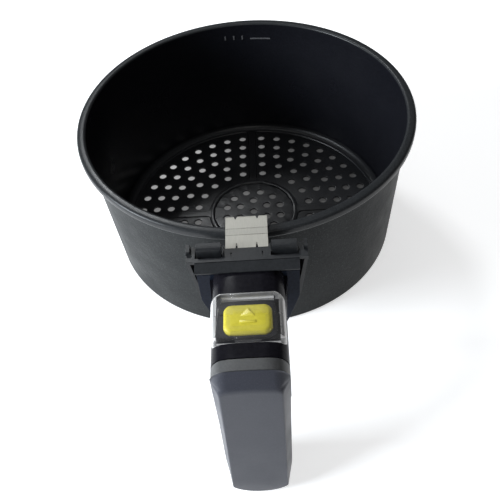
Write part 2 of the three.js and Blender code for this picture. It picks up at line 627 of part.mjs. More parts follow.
function gripFrontShell() {
  const top = ARM_BOTTOM - GAP;
  const collarY = COLLAR_FRONT_Y - GAP;
  const split = (z) => faceY(z) + FRONT_SHELL_DEPTH;
  const main = (edge, foot) => [
    [collarY, edge], [FACE_TOP[0], Math.min(FACE_TOP[1], edge - 6)], [faceY(50), 50],
    [faceY(foot + 4), foot + 4], [faceY(foot) + 1.2, foot + 0.5], [split(foot), foot], [split(top), top],
    [collarY, top],
  ];
  const edge = [
    [collarY, DECK_Z - SHOULDER[1]], [-179.6, 78], [-181.8, 50], [-187.2, 20],
    [-186.6, 16], [split(14) - 1, 14], [split(top), top], [collarY, top],
  ];
  const body = symmetricLoft([
    [5, main(deckHeight(5), 3.4)], [10, main(deckHeight(10), 5.2)],
    [FACE_HALF_WIDTH, main(deckHeight(FACE_HALF_WIDTH), 9)], [gripHalfWidth, edge]]);
  const cavity = prismX([
    [split(62) + 2, 62], [faceY(62) + 3, 62], [faceY(14) + 3, 14], [split(14) + 2, 14],
  ], -11.5, 11.5);
  const bosses = GRIP_SCREW_Z.map((z) => rodY(3.2, faceY(z) + 1.5, split(z) - 0.2, 0, z, 14));
  const bores = GRIP_SCREW_Z.map((z) => rodY(1.7, faceY(z) + 4, split(z) + 2, 0, z, 10));
  return cut(join(cut(body, cavity), ...bosses), ...bores);
}

function gripRearShell() {
  const top = ARM_BOTTOM - GAP;
  const split = (z) => faceY(z) + FRONT_SHELL_DEPTH + GAP;
  const outline = (depth, foot) => [
    [split(top), top], [split(foot), foot], [faceY(foot) + depth - 1.5, foot],
    [faceY(foot + 5) + depth, foot + 5], [faceY(top) + depth, top],
  ];
  const side = (z) => gripHalfWidth(z) - 0.15;
  const body = symmetricLoft([
    [5, outline(GRIP_DEPTH, 3.9)], [10, outline(GRIP_DEPTH - 1.2, 5.7)],
    [FACE_HALF_WIDTH, outline(GRIP_DEPTH - 3.4, 9.4)], [side, outline(GRIP_DEPTH - 8, 14)]]);
  const cavityBack = (z) => faceY(z) + GRIP_DEPTH - 4.5;
  const cavity = prismX([
    [split(63) - 1, 63], [split(14) - 1, 14], [cavityBack(14), 14], [cavityBack(63), 63],
  ], -11.5, 11.5);
  const tangSlot = block(-7, 7, -173, -167.6, 62, 67);
  const bores = GRIP_SCREW_Z.map((z) => rodY(1.7, split(z), faceY(z) + GRIP_DEPTH + 2, 0, z, 10));
  const back = (z) => faceY(z) + GRIP_DEPTH;
  const seats = GRIP_SCREW_Z.map((z) => rodY(3, back(z) - 2.2, back(z) + 3, 0, z, 14));
  return cut(body, cavity, tangSlot, ...bores, ...seats);
}

function gripCollar() {
  const hole = mirrored([[13.6, 69], [13.6, 83], [10, 88.6]]);
  return prismY(armSection(ARM_BOTTOM), ARM_FRONT_Y - GAP, COLLAR_FRONT_Y, [hole.reverse()]);
}

// ---------------------------------------------------------------- assembly
const model = new THREE.Group();

function place(name, manifold, material) {
  const mesh = new THREE.Mesh(toGeometry(manifold), material);
  mesh.name = name;
  model.add(mesh);
}

place("basket_wall", basketWall(), coated());
place("basket_floor", basketFloor(), coated());
place("rim_strap", rimStrap(), steel());
place("handle_tang", handleTang(), steel());
for (const [side, x] of [["left", -STRAP_RIVET_X], ["right", STRAP_RIVET_X]]) {
  place(`strap_rivet_${side}`, rivetY(x, STRAP_RIVET_Z, -97.3, -91.6, 1.1, 3, 1.5), steel());
}
for (const [level, z] of [["lower", TANG_RIVET_Z[0]], ["upper", TANG_RIVET_Z[1]]]) {
  place(`tang_rivet_${level}`, rivetY(0, z, -117.1, -113.3, 0.5, 2.4, 1.2), steel());
}
place("handle_base", handleBase(), blackPlastic());
place("shield_plate", shieldPlate(), glossPlastic());
for (const [side, x] of [["left", -BASE_SCREW[0]], ["right", BASE_SCREW[0]]]) {
  place(`base_screw_${side}`, screwY(x, BASE_SCREW[1], -121.6, -113.1, 1.5, 2.6), steel());
}
place("latch_rocker", latchRocker(), blackPlastic());
place("latch_axle", rodX(AXLE_RADIUS, -26.3, 26.3, PIVOT_Y, PIVOT_Z, 12), steel());
place("arm_housing", armHousing(), blackPlastic());
place("arm_bottom_cover", armBottomCover(), blackPlastic());
ARM_SCREWS.forEach((spot, i) => place(`arm_screw_${i + 1}`, armScrew(spot), steel()));
place("button_well", buttonWell(), blackPlastic());
place("release_button", releaseButton(), yellowPlastic());
place("button_spring", buttonSpring(), steel());
place("guard_lid", guardLid(), clearPlastic());
for (const [side, x0, x1] of [["left", -LID_PIN_END, -LUG_X[0]], ["right", LUG_X[0], LID_PIN_END]]) {
  place(`guard_pin_${side}`, rodX(LID_PIN_RADIUS, x0, x1, LID_HINGE[0], LID_HINGE[1], 10), steel());
}
place("grip_collar", gripCollar(), greyPlastic());
place("grip_front_shell", gripFrontShell(), gripPlastic());
place("grip_rear_shell", gripRearShell(), blackPlastic());
for (const [level, z] of [["upper", GRIP_SCREW_Z[0]], ["lower", GRIP_SCREW_Z[1]]]) {
  const seat = faceY(z) + GRIP_DEPTH - 2.2;
  place(`grip_screw_${level}`, screwY(0, z, faceY(z) + 5, seat + GAP, 1.6, 2.6), steel());
}

const box = new THREE.Box3().setFromObject(model);
model.position.y = -(box.min.y + box.max.y) / 2;

const object = new THREE.Group();
object.add(model);

export default object;
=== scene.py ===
"""Frying basket of a hot-air fryer with its lift-out handle: camera, studio, materials and fine meshes.

Lengths are millimetres measured from the bowl's axis (x, y) and from the table (z), the handle towards -Y,
until a mesh is finished; then it is moved into the frame, in metres.
"""
import math
from math import cos, hypot, pi, radians, sin, sqrt

import bmesh
import bpy
from mathutils import Matrix, Vector
from mathutils.geometry import delaunay_2d_cdt


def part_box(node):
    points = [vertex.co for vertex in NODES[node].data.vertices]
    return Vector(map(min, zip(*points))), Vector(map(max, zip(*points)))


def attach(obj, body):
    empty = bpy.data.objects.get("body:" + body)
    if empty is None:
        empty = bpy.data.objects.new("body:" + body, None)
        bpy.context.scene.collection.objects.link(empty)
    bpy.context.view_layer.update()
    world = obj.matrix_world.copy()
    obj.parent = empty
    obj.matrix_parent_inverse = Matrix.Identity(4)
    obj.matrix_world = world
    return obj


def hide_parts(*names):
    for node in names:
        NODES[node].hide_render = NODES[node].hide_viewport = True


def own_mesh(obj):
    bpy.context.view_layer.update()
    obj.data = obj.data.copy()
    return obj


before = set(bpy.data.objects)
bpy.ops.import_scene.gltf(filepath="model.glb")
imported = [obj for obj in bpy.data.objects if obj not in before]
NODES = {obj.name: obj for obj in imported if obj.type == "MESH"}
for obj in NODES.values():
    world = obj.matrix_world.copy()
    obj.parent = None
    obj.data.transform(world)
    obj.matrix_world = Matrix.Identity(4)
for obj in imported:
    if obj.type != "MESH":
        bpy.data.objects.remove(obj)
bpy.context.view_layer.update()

# ---------------------------------------------------------------- the frame
MM = 0.001
wall_low, wall_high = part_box("basket_wall")
BOWL_AXIS = Vector(((wall_low.x + wall_high.x) / 2, (wall_low.y + wall_high.y) / 2, 0))
TO_FRAME = Matrix.Translation(BOWL_AXIS) @ Matrix.Scale(MM, 4)
TO_BUILD = TO_FRAME.inverted()


def node_box(node):
    """Lowest and highest corner of a CAD node, in millimetres from the bowl's axis."""
    low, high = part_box(node)
    return TO_BUILD @ low, TO_BUILD @ high


# basket
RIM_RADIUS = (wall_high.x - wall_low.x) / 2 / MM
RIM_TOP = wall_high.z / MM
LIP_HEIGHT = 5
WALL_TOP_RADIUS = RIM_RADIUS - 4.4
WALL_BASE_RADIUS = RIM_RADIUS - 7.9
SHEET = 1
BASE_CORNER = 2
FLANGE_RADIUS = 84.5
TURN_STEPS = 240
LEVEL_MARKS = (  # first angle, last angle, height, half height
    (79, 87.6, 80.1, 0.45),
    (90.6, 91.2, 81.2, 1.5),
    (94.2, 94.8, 81.5, 1.5),
    (97.8, 98.4, 81.8, 1.5),
)
LEVEL_MARK_LIFT = 0.18

# perforated floor
PLATE_TOP = node_box("basket_floor")[0].z + SHEET
EDGE_RADIUS = 92.1
EDGE_FILLET = 4.2
HOLE_RADIUS = 2.6
HOLE_ROWS = ((40, 5), (50, 6), (60, 8), (70, 9), (80, 10))
SPOKE_CLEARANCE = 7.32
CENTRE_RINGS = ((10.8, 6, 30), (19.5, 12, 15))
RING_RADIUS = 29.2
RING_WIDTH = 3
SPOKE_HALF = 2.3
RELIEF = 0.7
PANEL_CORNER = 3
PANEL_EDGE = SPOKE_HALF + 0.2
PANEL_INNER = RING_RADIUS + RING_WIDTH / 2 + 0.3
PANEL_OUTER = EDGE_RADIUS - EDGE_FILLET - 0.3

# strap
STRAP_HALF = node_box("rim_strap")[1].x
STRAP_THICKNESS = 1.2
STRAP_PATH = ((-93.8, 76), (-91, 92.4), (-92, 93.9), (-99.8, 94.1),
              (-103.6, 93.2), (-113.2, 92.9), (-114.2, 91.9), (-114.2, 52))
STRAP_BENDS = (0, 1.2, 1.2, 3, 3, 0.8, 0.8, 0)
STRAP_CREASES = (-100, -103.6)
NOTCH_X = 5.5
SLOT_X = 5

# arm
DECK_Z = 92.3
ARM_HALF = node_box("arm_bottom_cover")[1].x
SHOULDER = (8, 9.6)

# release button
BUTTON_CAP_DEPTH = 7
BUTTON_EDGE = 2
BUTTON_CROWN = 0.3
BUTTON_CORNER = 3.6
BUTTON_MARK_HEIGHT = 0.35
SPRING_WIRE = 0.4
SPRING_TURNS = 4.5

# guard lid
LID_TAB_REACH = 1.5
LID_SIDE_WALL = 2.2
LID_END_WALL = 1.5
LID_ARCH = 5.6
LID_FILLET = 1.1
LID_CORNERS = (4.6, 2.8)
LID_INNER_ARCH = 3.6
LID_INNER_FILLET = 0.7
LID_INNER_CORNERS = (3.2, 1.6)
LID_ROOF_THICKNESS = 1.5

# grip
GRIP_FACE_TOP = (-184.8, 83.5)
GRIP_FACE_BOTTOM = (-197.4, 6)
GRIP_HALF = (16.2, 17.4)
FACE_HALF = 13.8
FRONT_SHELL_DEPTH = 14
GRIP_DEPTH = 26
COLLAR_FRONT = -178.9
FACE_EDGE = 84.2
FACE_CORNER = 1.5
FRONT_FOOT = 2
REAR_FOOT = 3.7
FOOT_HEIGHT = 13.5
FOOT_HALF = 16.8
FOOT_FULLNESS = 2.05
FOOT_ROUNDING = 1.4
GRIP_FRONT_LIMIT = node_box("grip_front_shell")[0].y
GRIP_COLUMNS = 90
ARM_UNDERSIDE = 66
EDGE_STOPS = ((3, -186), (14, -186.9), (20, -187.2), (50, -181.8), (78, -179.6), (82.7, -178.9), (93, -178.9))


# ---------------------------------------------------------------- camera and studio
def look_from(location, right, up, forward):
    turn = Matrix((right, up, [-value for value in forward])).transposed()
    return Matrix.Translation(location) @ turn.to_4x4()


def make_camera():
    data = bpy.data.cameras.new("camera")
    data.sensor_width = 36
    data.lens = 45.8436
    data.shift_x = -0.00667
    data.shift_y = -0.00352
    data.clip_start = 0.01
    camera = bpy.data.objects.new("camera", data)
    camera.matrix_world = look_from(
        (0.014113, -0.265540, 0.328340),
        (0.99782798, -0.01938131, -0.06295781),
        (0.05561075, 0.76013771, 0.64737788),
        (-0.03530958, 0.64947289, -0.75956448))
    bpy.context.scene.collection.objects.link(camera)
    bpy.context.scene.camera = camera


def area_light(name, location, target, size, power, colour):
    data = bpy.data.lights.new(name, "AREA")
    data.shape = "RECTANGLE"
    data.size, data.size_y = size
    data.energy = power
    data.color = colour
    lamp = bpy.data.objects.new(name, data)
    direction = Vector(target) - Vector(location)
    lamp.location = location
    lamp.rotation_euler = direction.to_track_quat("-Z", "Y").to_euler()
    bpy.context.scene.collection.objects.link(lamp)


def make_world():
    world = bpy.data.worlds.new("studio")
    world.use_nodes = True
    background = world.node_tree.nodes["Background"]
    background.inputs["Color"].default_value = (0.93, 0.96, 1, 1)
    background.inputs["Strength"].default_value = 0.1
    bpy.context.scene.world = world


def make_floor():
    """A pale floor that gives off a little light, with a painted shadow under the basket and a painted pool
    of light under its lit side, both in that light and in its colour.
    """
    half = 3
    mesh = bpy.data.meshes.new("studio_floor")
    corners = [(-half, -half, 0), (half, -half, 0), (half, half, 0), (-half, half, 0)]
    mesh.from_pydata(corners, [], [(0, 1, 2, 3)])
    floor = bpy.data.objects.new("studio_floor", mesh)
    material, shader = new_material("studio_floor")
    mottle = noise(material, 3, 2)
    paper = ramp(material, mottle, ((0.3, 0.86), (0.7, 0.9)))
    shader.inputs["Roughness"].default_value = 0.8
    spot = add_node(material, "TexCoord").outputs["Object"]
    lit_side = BOWL_AXIS + Vector((-0.07, 0.07, 0))
    shade = distance_to(material, spot, lit_side)
    from_axis = distance_to(material, spot, BOWL_AXIS)
    # painted shade under the basket, lighter towards its lit side
    within = ramp(material, shade, ((0.02, 0.65), (0.06, 0.28), (0.1, 0.1), (0.16, 0.05)))
    outside = ramp(material, from_axis, ((0.085, 0), (0.094, 1)))
    painted_floor_light = mixed(material, "LIGHTEN", within, outside)
    link(material, painted_floor_light, shader, "Emission Color")
    link(material, mixed(material, "MULTIPLY", paper, painted_floor_light), shader, "Base Color")
    shader.inputs["Emission Strength"].default_value = 0.62
    mesh.materials.append(material)
    bpy.context.scene.collection.objects.link(floor)


# ---------------------------------------------------------------- material nodes
def new_material(name):
    material = bpy.data.materials.new(name)
    material.use_nodes = True
    return material, material.node_tree.nodes["Principled BSDF"]


def add_node(material, kind, inputs=(), **settings):
    """A shader node with its settings; an input is a plain value or another node's output."""
    made = material.node_tree.nodes.new("ShaderNode" + kind)
    for key, value in settings.items():
        setattr(made, key, value)
    for socket, value in dict(inputs).items():
        if isinstance(value, bpy.types.NodeSocket):
            material.node_tree.links.new(value, made.inputs[socket])
        else:
            made.inputs[socket].default_value = value
    return made


def link(material, output, shader, socket):
    material.node_tree.links.new(output, shader.inputs[socket])


def mixed(material, blend, first, second):
    inputs = {0: 1.0, 6: first, 7: second}
    return add_node(material, "Mix", inputs, data_type="RGBA", blend_type=blend).outputs[2]


def distance_to(material, spot, place):
    return add_node(material, "VectorMath", {0: spot, 1: tuple(place)}, operation="DISTANCE").outputs["Value"]


def place_in_object(material, stretch=(1, 1, 1)):
    spot = add_node(material, "TexCoord").outputs["Object"]
    return add_node(material, "Mapping", {"Vector": spot, "Scale": stretch}).outputs["Vector"]


def noise(material, scale, detail=2, roughness=0.5, stretch=(1, 1, 1)):
    spot = place_in_object(material, stretch)
    inputs = {"Vector": spot, "Scale": scale, "Detail": detail, "Roughness": roughness}
    return add_node(material, "TexNoise", inputs).outputs["Fac"]


def ramp(material, factor, stops):
    """A colour ramp; stops are (position, colour) with a colour of one grey value or of three channels."""
    made = add_node(material, "ValToRGB", {"Fac": factor})
    elements = made.color_ramp.elements
    while len(elements) < len(stops):
        elements.new(0.5)
    for element, (position, colour) in zip(elements, stops):
        element.position = position
        channels = (colour,) * 3 if isinstance(colour, (int, float)) else colour
        element.color = (*channels, 1)
    return made.outputs["Color"]


def bump(material, heights):
    """A normal from a chain of bumps; heights are (height, strength, distance in metres)."""
    normal = None
    for height, strength, distance in heights:
        inputs = {"Height": height, "Strength": strength, "Distance": distance}
        if normal is not None:
            inputs["Normal"] = normal
        normal = add_node(material, "Bump", inputs).outputs["Normal"]
    return normal


def finish_of(name, colours, rough, bumps, metallic=0, **sockets):
    """A material: colours and rough are (factor, stops), bumps as in bump(), other sockets plain values."""
    material, shader = new_material(name)

    def made(recipe):
        factor, stops = recipe
        return ramp(material, factor(material), stops)

    link(material, made(colours), shader, "Base Color")
    link(material, made(rough), shader, "Roughness")
    heights = [(factor(material), strength, distance) for factor, strength, distance in bumps]
    link(material, bump(material, heights), shader, "Normal")
    shader.inputs["Metallic"].default_value = metallic
    for socket, value in sockets.items():
        shader.inputs[socket.replace("_", " ")].default_value = value
    return material


def grain(scale, detail=2, roughness=0.5, stretch=(1, 1, 1)):
    return lambda material: noise(material, scale, detail, roughness, stretch)


def patchy(scale, low, high):
    """A recipe that drifts between two values in soft patches."""
    return grain(scale, 2), ((0.3, low), (0.7, high))


def arithmetic(material, operation, *values):
    return add_node(material, "Math", dict(enumerate(values)), operation=operation).outputs[0]


def steel_grain_and_crease_shade(material):
    """Brushed grain and smudges, with painted shade darkening the creases across the top of the strap."""
    spot = add_node(material, "TexCoord").outputs["Object"]
    along = add_node(material, "SeparateXYZ", {0: spot}).outputs["Y"]
    smudges = noise(material, 220, 3, 0.6, (0.4, 1, 1))
    steel_tone_and_crease_shade = arithmetic(material, "MULTIPLY_ADD", noise(material, 700, 3, 0.6, (4, 0.5, 0.5)), 0.5, 0.45)
    # each crease darkens the colour in a thin line: painted shade
    for place, width in zip(STRAP_CREASES, (0.5, 0.6)):
        crease = (TO_FRAME @ Vector((0, place, 0))).y
        away = arithmetic(material, "ABSOLUTE", arithmetic(material, "SUBTRACT", along, crease))
        clear = arithmetic(material, "DIVIDE", away, width * MM)
        crease_shade_and_smudges = arithmetic(material, "ADD", clear, arithmetic(material, "MULTIPLY", smudges, 0.9))
        steel_tone_and_crease_shade = arithmetic(material, "MULTIPLY", steel_tone_and_crease_shade, arithmetic(material, "MINIMUM", crease_shade_and_smudges, 1))
    return steel_tone_and_crease_shade


def clear_finish(name, cover, painted_reflection_white):
    """Clear plastic: hardly there face on, and paler towards its edges, a painted reflection in a pale white
    colour; cover is the ramp's stops.
    """
    darker = (painted_reflection_white, painted_reflection_white * 0.98, painted_reflection_white * 0.96)
    lighter = (painted_reflection_white * 1.1, painted_reflection_white * 1.08, painted_reflection_white * 1.06)
    material = finish_of(
        name,
        patchy(60, darker, lighter),
        (grain(300, 4, 0.7, (1, 6, 1)), ((0.4, 0.08), (0.75, 0.14))),
        ((grain(25, 1), 0.04, 0.0004),), Specular_IOR_Level=0.8)
    shader = material.node_tree.nodes["Principled BSDF"]
    facing = add_node(material, "LayerWeight", {"Blend": 0.4}).outputs["Facing"]
    link(material, ramp(material, facing, cover), shader, "Alpha")
    return material


def make_materials():
    made = {}

    def add(name, *recipe, **sockets):
        made[name] = finish_of(name, *recipe, **sockets)

    add("coating_outside",
        (grain(1300, 3, 0.6), ((0.35, (0.019, 0.0203, 0.0208)), (0.58, (0.026, 0.0278, 0.0283)),
                               (0.74, (0.058, 0.062, 0.063)))),
        patchy(60, 0.4, 0.5),
        ((grain(1100, 2), 0.5, 0.00016), (grain(320, 1), 0.35, 0.0003)),
        Specular_IOR_Level=0.04)
    add("coating_rim",
        (grain(1300, 3, 0.6), ((0.35, (0.017, 0.018, 0.0195)), (0.6, (0.024, 0.0255, 0.027)),
                               (0.74, (0.045, 0.047, 0.049)))),
        patchy(60, 0.26, 0.34),
        ((grain(1100, 2), 0.3, 0.0001),), Specular_IOR_Level=0.18)
    add("coating_inside",
        (grain(1200, 2), ((0.35, (0.0045, 0.0047, 0.0065)), (0.7, (0.008, 0.0084, 0.0115)))),
        patchy(40, 0.27, 0.36),
        ((grain(1500, 2), 0.18, 0.0001),), Specular_IOR_Level=0.3)
    add("coating_floor",
        (grain(1000, 3), ((0.35, (0.009, 0.0094, 0.011)), (0.7, (0.017, 0.0175, 0.0195)))),
        patchy(50, 0.3, 0.42),
        ((grain(1500, 2), 0.2, 0.0001),), Specular_IOR_Level=0.35)
    add("level_paint",
        (grain(1500, 2), ((0.35, (0.06, 0.06, 0.063)), (0.7, (0.11, 0.11, 0.115)))),
        patchy(500, 0.35, 0.5),
        ((grain(1500, 2), 0.2, 0.0001),))
    # brushed steel, darkened along the strap's creases as painted shade
    add("brushed_steel",
        (steel_grain_and_crease_shade, ((0, (0.12, 0.11, 0.095)), (0.3, (0.33, 0.315, 0.28)), (0.62, (0.47, 0.455, 0.41)),
                      (1, (0.52, 0.505, 0.455)))),
        (grain(200, 3, 0.6, (10, 1, 1)), ((0.3, 0.6), (0.7, 0.72))),
        ((grain(900, 3, 0.6, (4, 0.6, 0.6)), 0.12, 0.0001),), metallic=0.85)
    add("plain_steel",
        patchy(500, (0.42, 0.42, 0.41), (0.62, 0.62, 0.6)),
        patchy(800, 0.25, 0.42),
        ((grain(1500, 2), 0.15, 0.0001),), metallic=1)
    add("black_plastic",
        patchy(700, (0.011, 0.012, 0.0135), (0.018, 0.0195, 0.0215)),
        patchy(90, 0.36, 0.46),
        ((grain(2600, 2), 0.25, 0.00012),), Specular_IOR_Level=0.3)
    add("gloss_arm",
        patchy(600, (0.006, 0.0056, 0.0078), (0.0095, 0.009, 0.0118)),
        (grain(70, 3), ((0.3, 0.22), (0.7, 0.32))),
        ((grain(1800, 2), 0.05, 0.0001),), Specular_IOR_Level=0.05)
    # the shield: the arm's gloss black tinted blue, a painted reflection of the cool window light
    add("gloss_shield_painted_reflection",
        patchy(600, (0.0085, 0.011, 0.019), (0.013, 0.017, 0.028)),
        (grain(70, 3), ((0.3, 0.14), (0.7, 0.24))),
        ((grain(1800, 2), 0.05, 0.0001),), Specular_IOR_Level=0.05)
    add("yellow_plastic",
        (grain(500, 3), ((0.3, (0.52, 0.45, 0.022)), (0.7, (0.59, 0.51, 0.034)))),
        patchy(120, 0.42, 0.52),
        ((grain(2400, 2), 0.2, 0.0001),), Specular_IOR_Level=0.3)
    # the raised marks: the button's yellow made lighter, a painted highlight on their tops
    add("yellow_mark_painted_highlight",
        (grain(500, 3), ((0.3, (0.55, 0.475, 0.03)), (0.7, (0.62, 0.54, 0.045)))),
        patchy(120, 0.3, 0.4),
        ((grain(2400, 2), 0.1, 0.0001),))
    # Three copies of the clear plastic: the roof, the paler walls, and the outer edges whiter and nearly
    # solid as a painted highlight line.
    made["clear_plastic"] = clear_finish("clear_plastic", ((0.3, 0.04), (0.7, 0.08), (1, 0.5)), 0.55)
    made["clear_wall"] = clear_finish("clear_wall", ((0.1, 0.36), (0.6, 0.5), (1, 0.7)), 0.55)
    made["clear_edge_painted_highlight"] = clear_finish("clear_edge_painted_highlight", ((0.1, 0.6), (0.6, 0.75), (1, 0.85)), 0.85)
    add("grey_plastic",
        patchy(900, (0.05, 0.0505, 0.051), (0.064, 0.0645, 0.065)),
        patchy(90, 0.42, 0.52),
        ((grain(2600, 2), 0.25, 0.0001),))
    add("grip_plastic",
        (grain(2300, 2, 0.6), ((0.3, (0.033, 0.035, 0.0455)), (0.55, (0.039, 0.0415, 0.054)),
                               (0.74, (0.052, 0.055, 0.07)))),
        patchy(80, 0.34, 0.44),
        ((grain(2600, 2), 0.2, 0.0001),), Specular_IOR_Level=0.35)
    return made


# ---------------------------------------------------------------- mesh helpers
def mesh_object(name, verts, faces):
    """A new object from points in millimetres, moved into the frame."""
    mesh = bpy.data.meshes.new(name)
    mesh.from_pydata([tuple(vert) for vert in verts], [], faces)
    mesh.transform(TO_FRAME)
    tidy(mesh)
    made = bpy.data.objects.new(name, mesh)
    bpy.context.scene.collection.objects.link(made)
    return made


def tidy(mesh):
    """Welds the mesh and turns its faces outward."""
    work = bmesh.new()
    work.from_mesh(mesh)
    bmesh.ops.remove_doubles(work, verts=work.verts, dist=0.002 * MM)
    bmesh.ops.recalc_face_normals(work, faces=work.faces)
    work.to_mesh(mesh)
    work.free()


def smooth(made, sharp):
    made.data.shade_smooth()
    made.data.set_sharp_from_angle(angle=radians(sharp))


def bake(made):
    """Applies the object's modifiers to its mesh."""
    bpy.context.view_layer.update()
    evaluated = made.evaluated_get(bpy.context.evaluated_depsgraph_get())
    baked = bpy.data.meshes.new_from_object(evaluated)
    made.modifiers.clear()
    made.data = baked


def bevel(made, width, segments=3, sharp=30):
    rounding = made.modifiers.new("rounding", "BEVEL")
    rounding.limit_method = "ANGLE"
    rounding.angle_limit = radians(sharp)
    rounding.width = width * MM
    rounding.segments = segments
    rounding.use_clamp_overlap = True
    bake(made)


def boolean(made, other, operation):
    action = made.modifiers.new("boolean", "BOOLEAN")
    action.operation = operation
    action.object = other
    action.solver = "EXACT"
    bake(made)
    bpy.data.objects.remove(other)


def cut(made, *others):
    for other in others:
        boolean(made, other, "DIFFERENCE")


def join(made, *others):
    for other in others:
        boolean(made, other, "UNION")


def weighted(made):
    normals = made.modifiers.new("normals", "WEIGHTED_NORMAL")
    normals.keep_sharp = True


def piece(made, material, slot, body, *nodes):
    """Gives a finished mesh its material and its body, and hides the CAD nodes that it stands for."""
    if not made.data.materials:
        made.data.materials.append(material)
    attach(made, body)
    if nodes:
        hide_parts(*nodes)
    return made


def block(name, low, high):
    corners = [(x, y, z) for x in (low[0], high[0]) for y in (low[1], high[1]) for z in (low[2], high[2])]
    faces = [(0, 1, 3, 2), (4, 6, 7, 5), (0, 4, 5, 1), (2, 3, 7, 6), (0, 2, 6, 4), (1, 5, 7, 3)]
    return mesh_object(name, corners, faces)


def rings_to_solid(name, rings, closed=False):
    """A skin over rings of points with the same count, capped at its ends or joined end to end."""
    count = len(rings[0])
    verts = [point for ring in rings for point in ring]
    faces = []
    last = len(rings) if closed else len(rings) - 1
    for ring in range(last):
        below = ring * count
        above = ((ring + 1) % len(rings)) * count
        for i in range(count):
            after = (i + 1) % count
            faces.append((below + i, below + after, above + after, above + i))
    if not closed:
        faces.append(tuple(reversed(range(count))))
        faces.append(tuple(range((len(rings) - 1) * count, len(rings) * count)))
    return mesh_object(name, verts, faces)


def turned(name, profile, centre, axis, steps, closed=False):
    """A body of revolution; the profile is (radius, distance along the axis), from axis to axis or closed."""
    along = Vector(axis).normalized()
    side = along.orthogonal().normalized()
    other = along.cross(side)
    turns = [2 * pi * i / steps for i in range(steps)]
    rings = []
    for radius, distance in profile:
        middle = Vector(centre) + along * distance
        radius = max(radius, 0.001)
        rings.append([middle + side * (radius * cos(turn)) + other * (radius * sin(turn)) for turn in turns])
    return rings_to_solid(name, rings, closed=closed)


def arc(centre, radius, start, end, steps):
    """Points on a circle, with the angles in degrees."""
    angles = [radians(start + (end - start) * i / steps) for i in range(steps + 1)]
    return [(centre[0] + radius * cos(angle), centre[1] + radius * sin(angle)) for angle in angles]


def rounded(points, steps, closed=True):
    """An outline of (a, b, radius) corners with every corner turned into an arc."""
    count = len(points)
    outline = []
    for i, (a, b, radius) in enumerate(points):
        here = Vector((a, b))
        if radius == 0 or (not closed and i in (0, count - 1)):
            outline.append((a, b))
            continue
        before = Vector(points[i - 1][:2]) - here
        after = Vector(points[(i + 1) % count][:2]) - here
        angle = before.angle(after)
        reach = min(radius / math.tan(angle / 2), before.length * 0.49, after.length * 0.49)
        start = here + before.normalized() * reach
        end = here + after.normalized() * reach
        for step in range(steps + 1):
            share = step / steps
            first = start.lerp(here, share)
            second = here.lerp(end, share)
            outline.append(tuple(first.lerp(second, share)))
    return outline


def rounded_rectangle(half_x, half_y, radius, centre, steps):
    corners = ((1, 1, 0), (-1, 1, 90), (-1, -1, 180), (1, -1, 270))
    outline = []
    for sign_x, sign_y, start in corners:
        middle = (centre[0] + sign_x * (half_x - radius), centre[1] + sign_y * (half_y - radius))
        outline += arc(middle, radius, start, start + 90, steps)
    return outline


def refined(node, width):
    """A copy of a CAD node's mesh, welded, with its hard edges rounded."""
    mesh = NODES[node].data.copy()
    mesh.materials.clear()
    work = bmesh.new()
    work.from_mesh(mesh)
    bmesh.ops.remove_doubles(work, verts=work.verts, dist=0.01 * MM)
    bmesh.ops.dissolve_limit(work, angle_limit=radians(0.8), verts=work.verts, edges=work.edges)
    work.to_mesh(mesh)
    work.free()
    made = bpy.data.objects.new(node + "_fine", mesh)
    bpy.context.scene.collection.objects.link(made)
    bevel(made, width)
    smooth(made, 40)
    weighted(made)
    return made


# ---------------------------------------------------------------- basket
def wall_radius(z):
    """Inner radius of the wall at height z."""
    share = (z - BASE_CORNER) / (RIM_TOP - LIP_HEIGHT - BASE_CORNER)
    return WALL_BASE_RADIUS - SHEET + (WALL_TOP_RADIUS - WALL_BASE_RADIUS) * share


def make_shell(materials):
    lip_foot = RIM_TOP - LIP_HEIGHT
    inner = WALL_TOP_RADIUS - SHEET
    profile = rounded((
        (FLANGE_RADIUS, 0, 0.3), (WALL_BASE_RADIUS - 0.15, 0, 2), (WALL_TOP_RADIUS, lip_foot, 0.6),
        (RIM_RADIUS, lip_foot, 1.6), (RIM_RADIUS, RIM_TOP - 0.3, 2),
        (WALL_TOP_RADIUS + 1, RIM_TOP + 0.3, 1.5), (inner, RIM_TOP - 0.5, 1.4),
        (inner, lip_foot - 2, 2), (WALL_BASE_RADIUS - SHEET, SHEET, 1.6),
        (FLANGE_RADIUS, SHEET, 0.3)), steps=7)
    profile = [(radius, min(z, RIM_TOP)) for radius, z in profile]
    made = turned("basket_shell", profile, (0, 0, 0), (0, 0, 1), TURN_STEPS, closed=True)
    for finish in ("coating_outside", "coating_inside", "coating_rim"):
        made.data.materials.append(materials[finish])
    for face in made.data.polygons:
        middle = TO_BUILD @ face.center
        outward = Vector((middle.x, middle.y, 0)).normalized()
        inside = face.normal.dot(outward) < -0.5 and middle.z > SHEET and middle.z < RIM_TOP - 1.2
        on_lip = middle.z > lip_foot - 0.1
        face.material_index = 1 if inside else 2 if on_lip else 0
    smooth(made, 50)
    piece(made, None, "coated_sheet", "basket", "basket_wall")


def make_level_marks(materials):
    """A fill line and three ticks, raised a little on the back of the inner wall."""
    lift = LEVEL_MARK_LIFT
    for number, (start, end, z, half_height) in enumerate(LEVEL_MARKS, 1):
        corners = rounded(((0.2, z - half_height, 0), (-lift, z - half_height, 0.12),
                           (-lift, z + half_height, 0.12), (0.2, z + half_height, 0)), 3)
        section = [(wall_radius(height) + depth, height) for depth, height in corners]
        steps = max(4, int((end - start) * 3))
        rings = []
        for i in range(steps + 1):
            angle = radians(start + (end - start) * i / steps)
            rings.append([(radius * cos(angle), radius * sin(angle), height) for radius, height in section])
        made = rings_to_solid(f"level_mark_{number}", rings)
        smooth(made, 40)
        piece(made, materials["level_paint"], "coated_sheet", "basket")


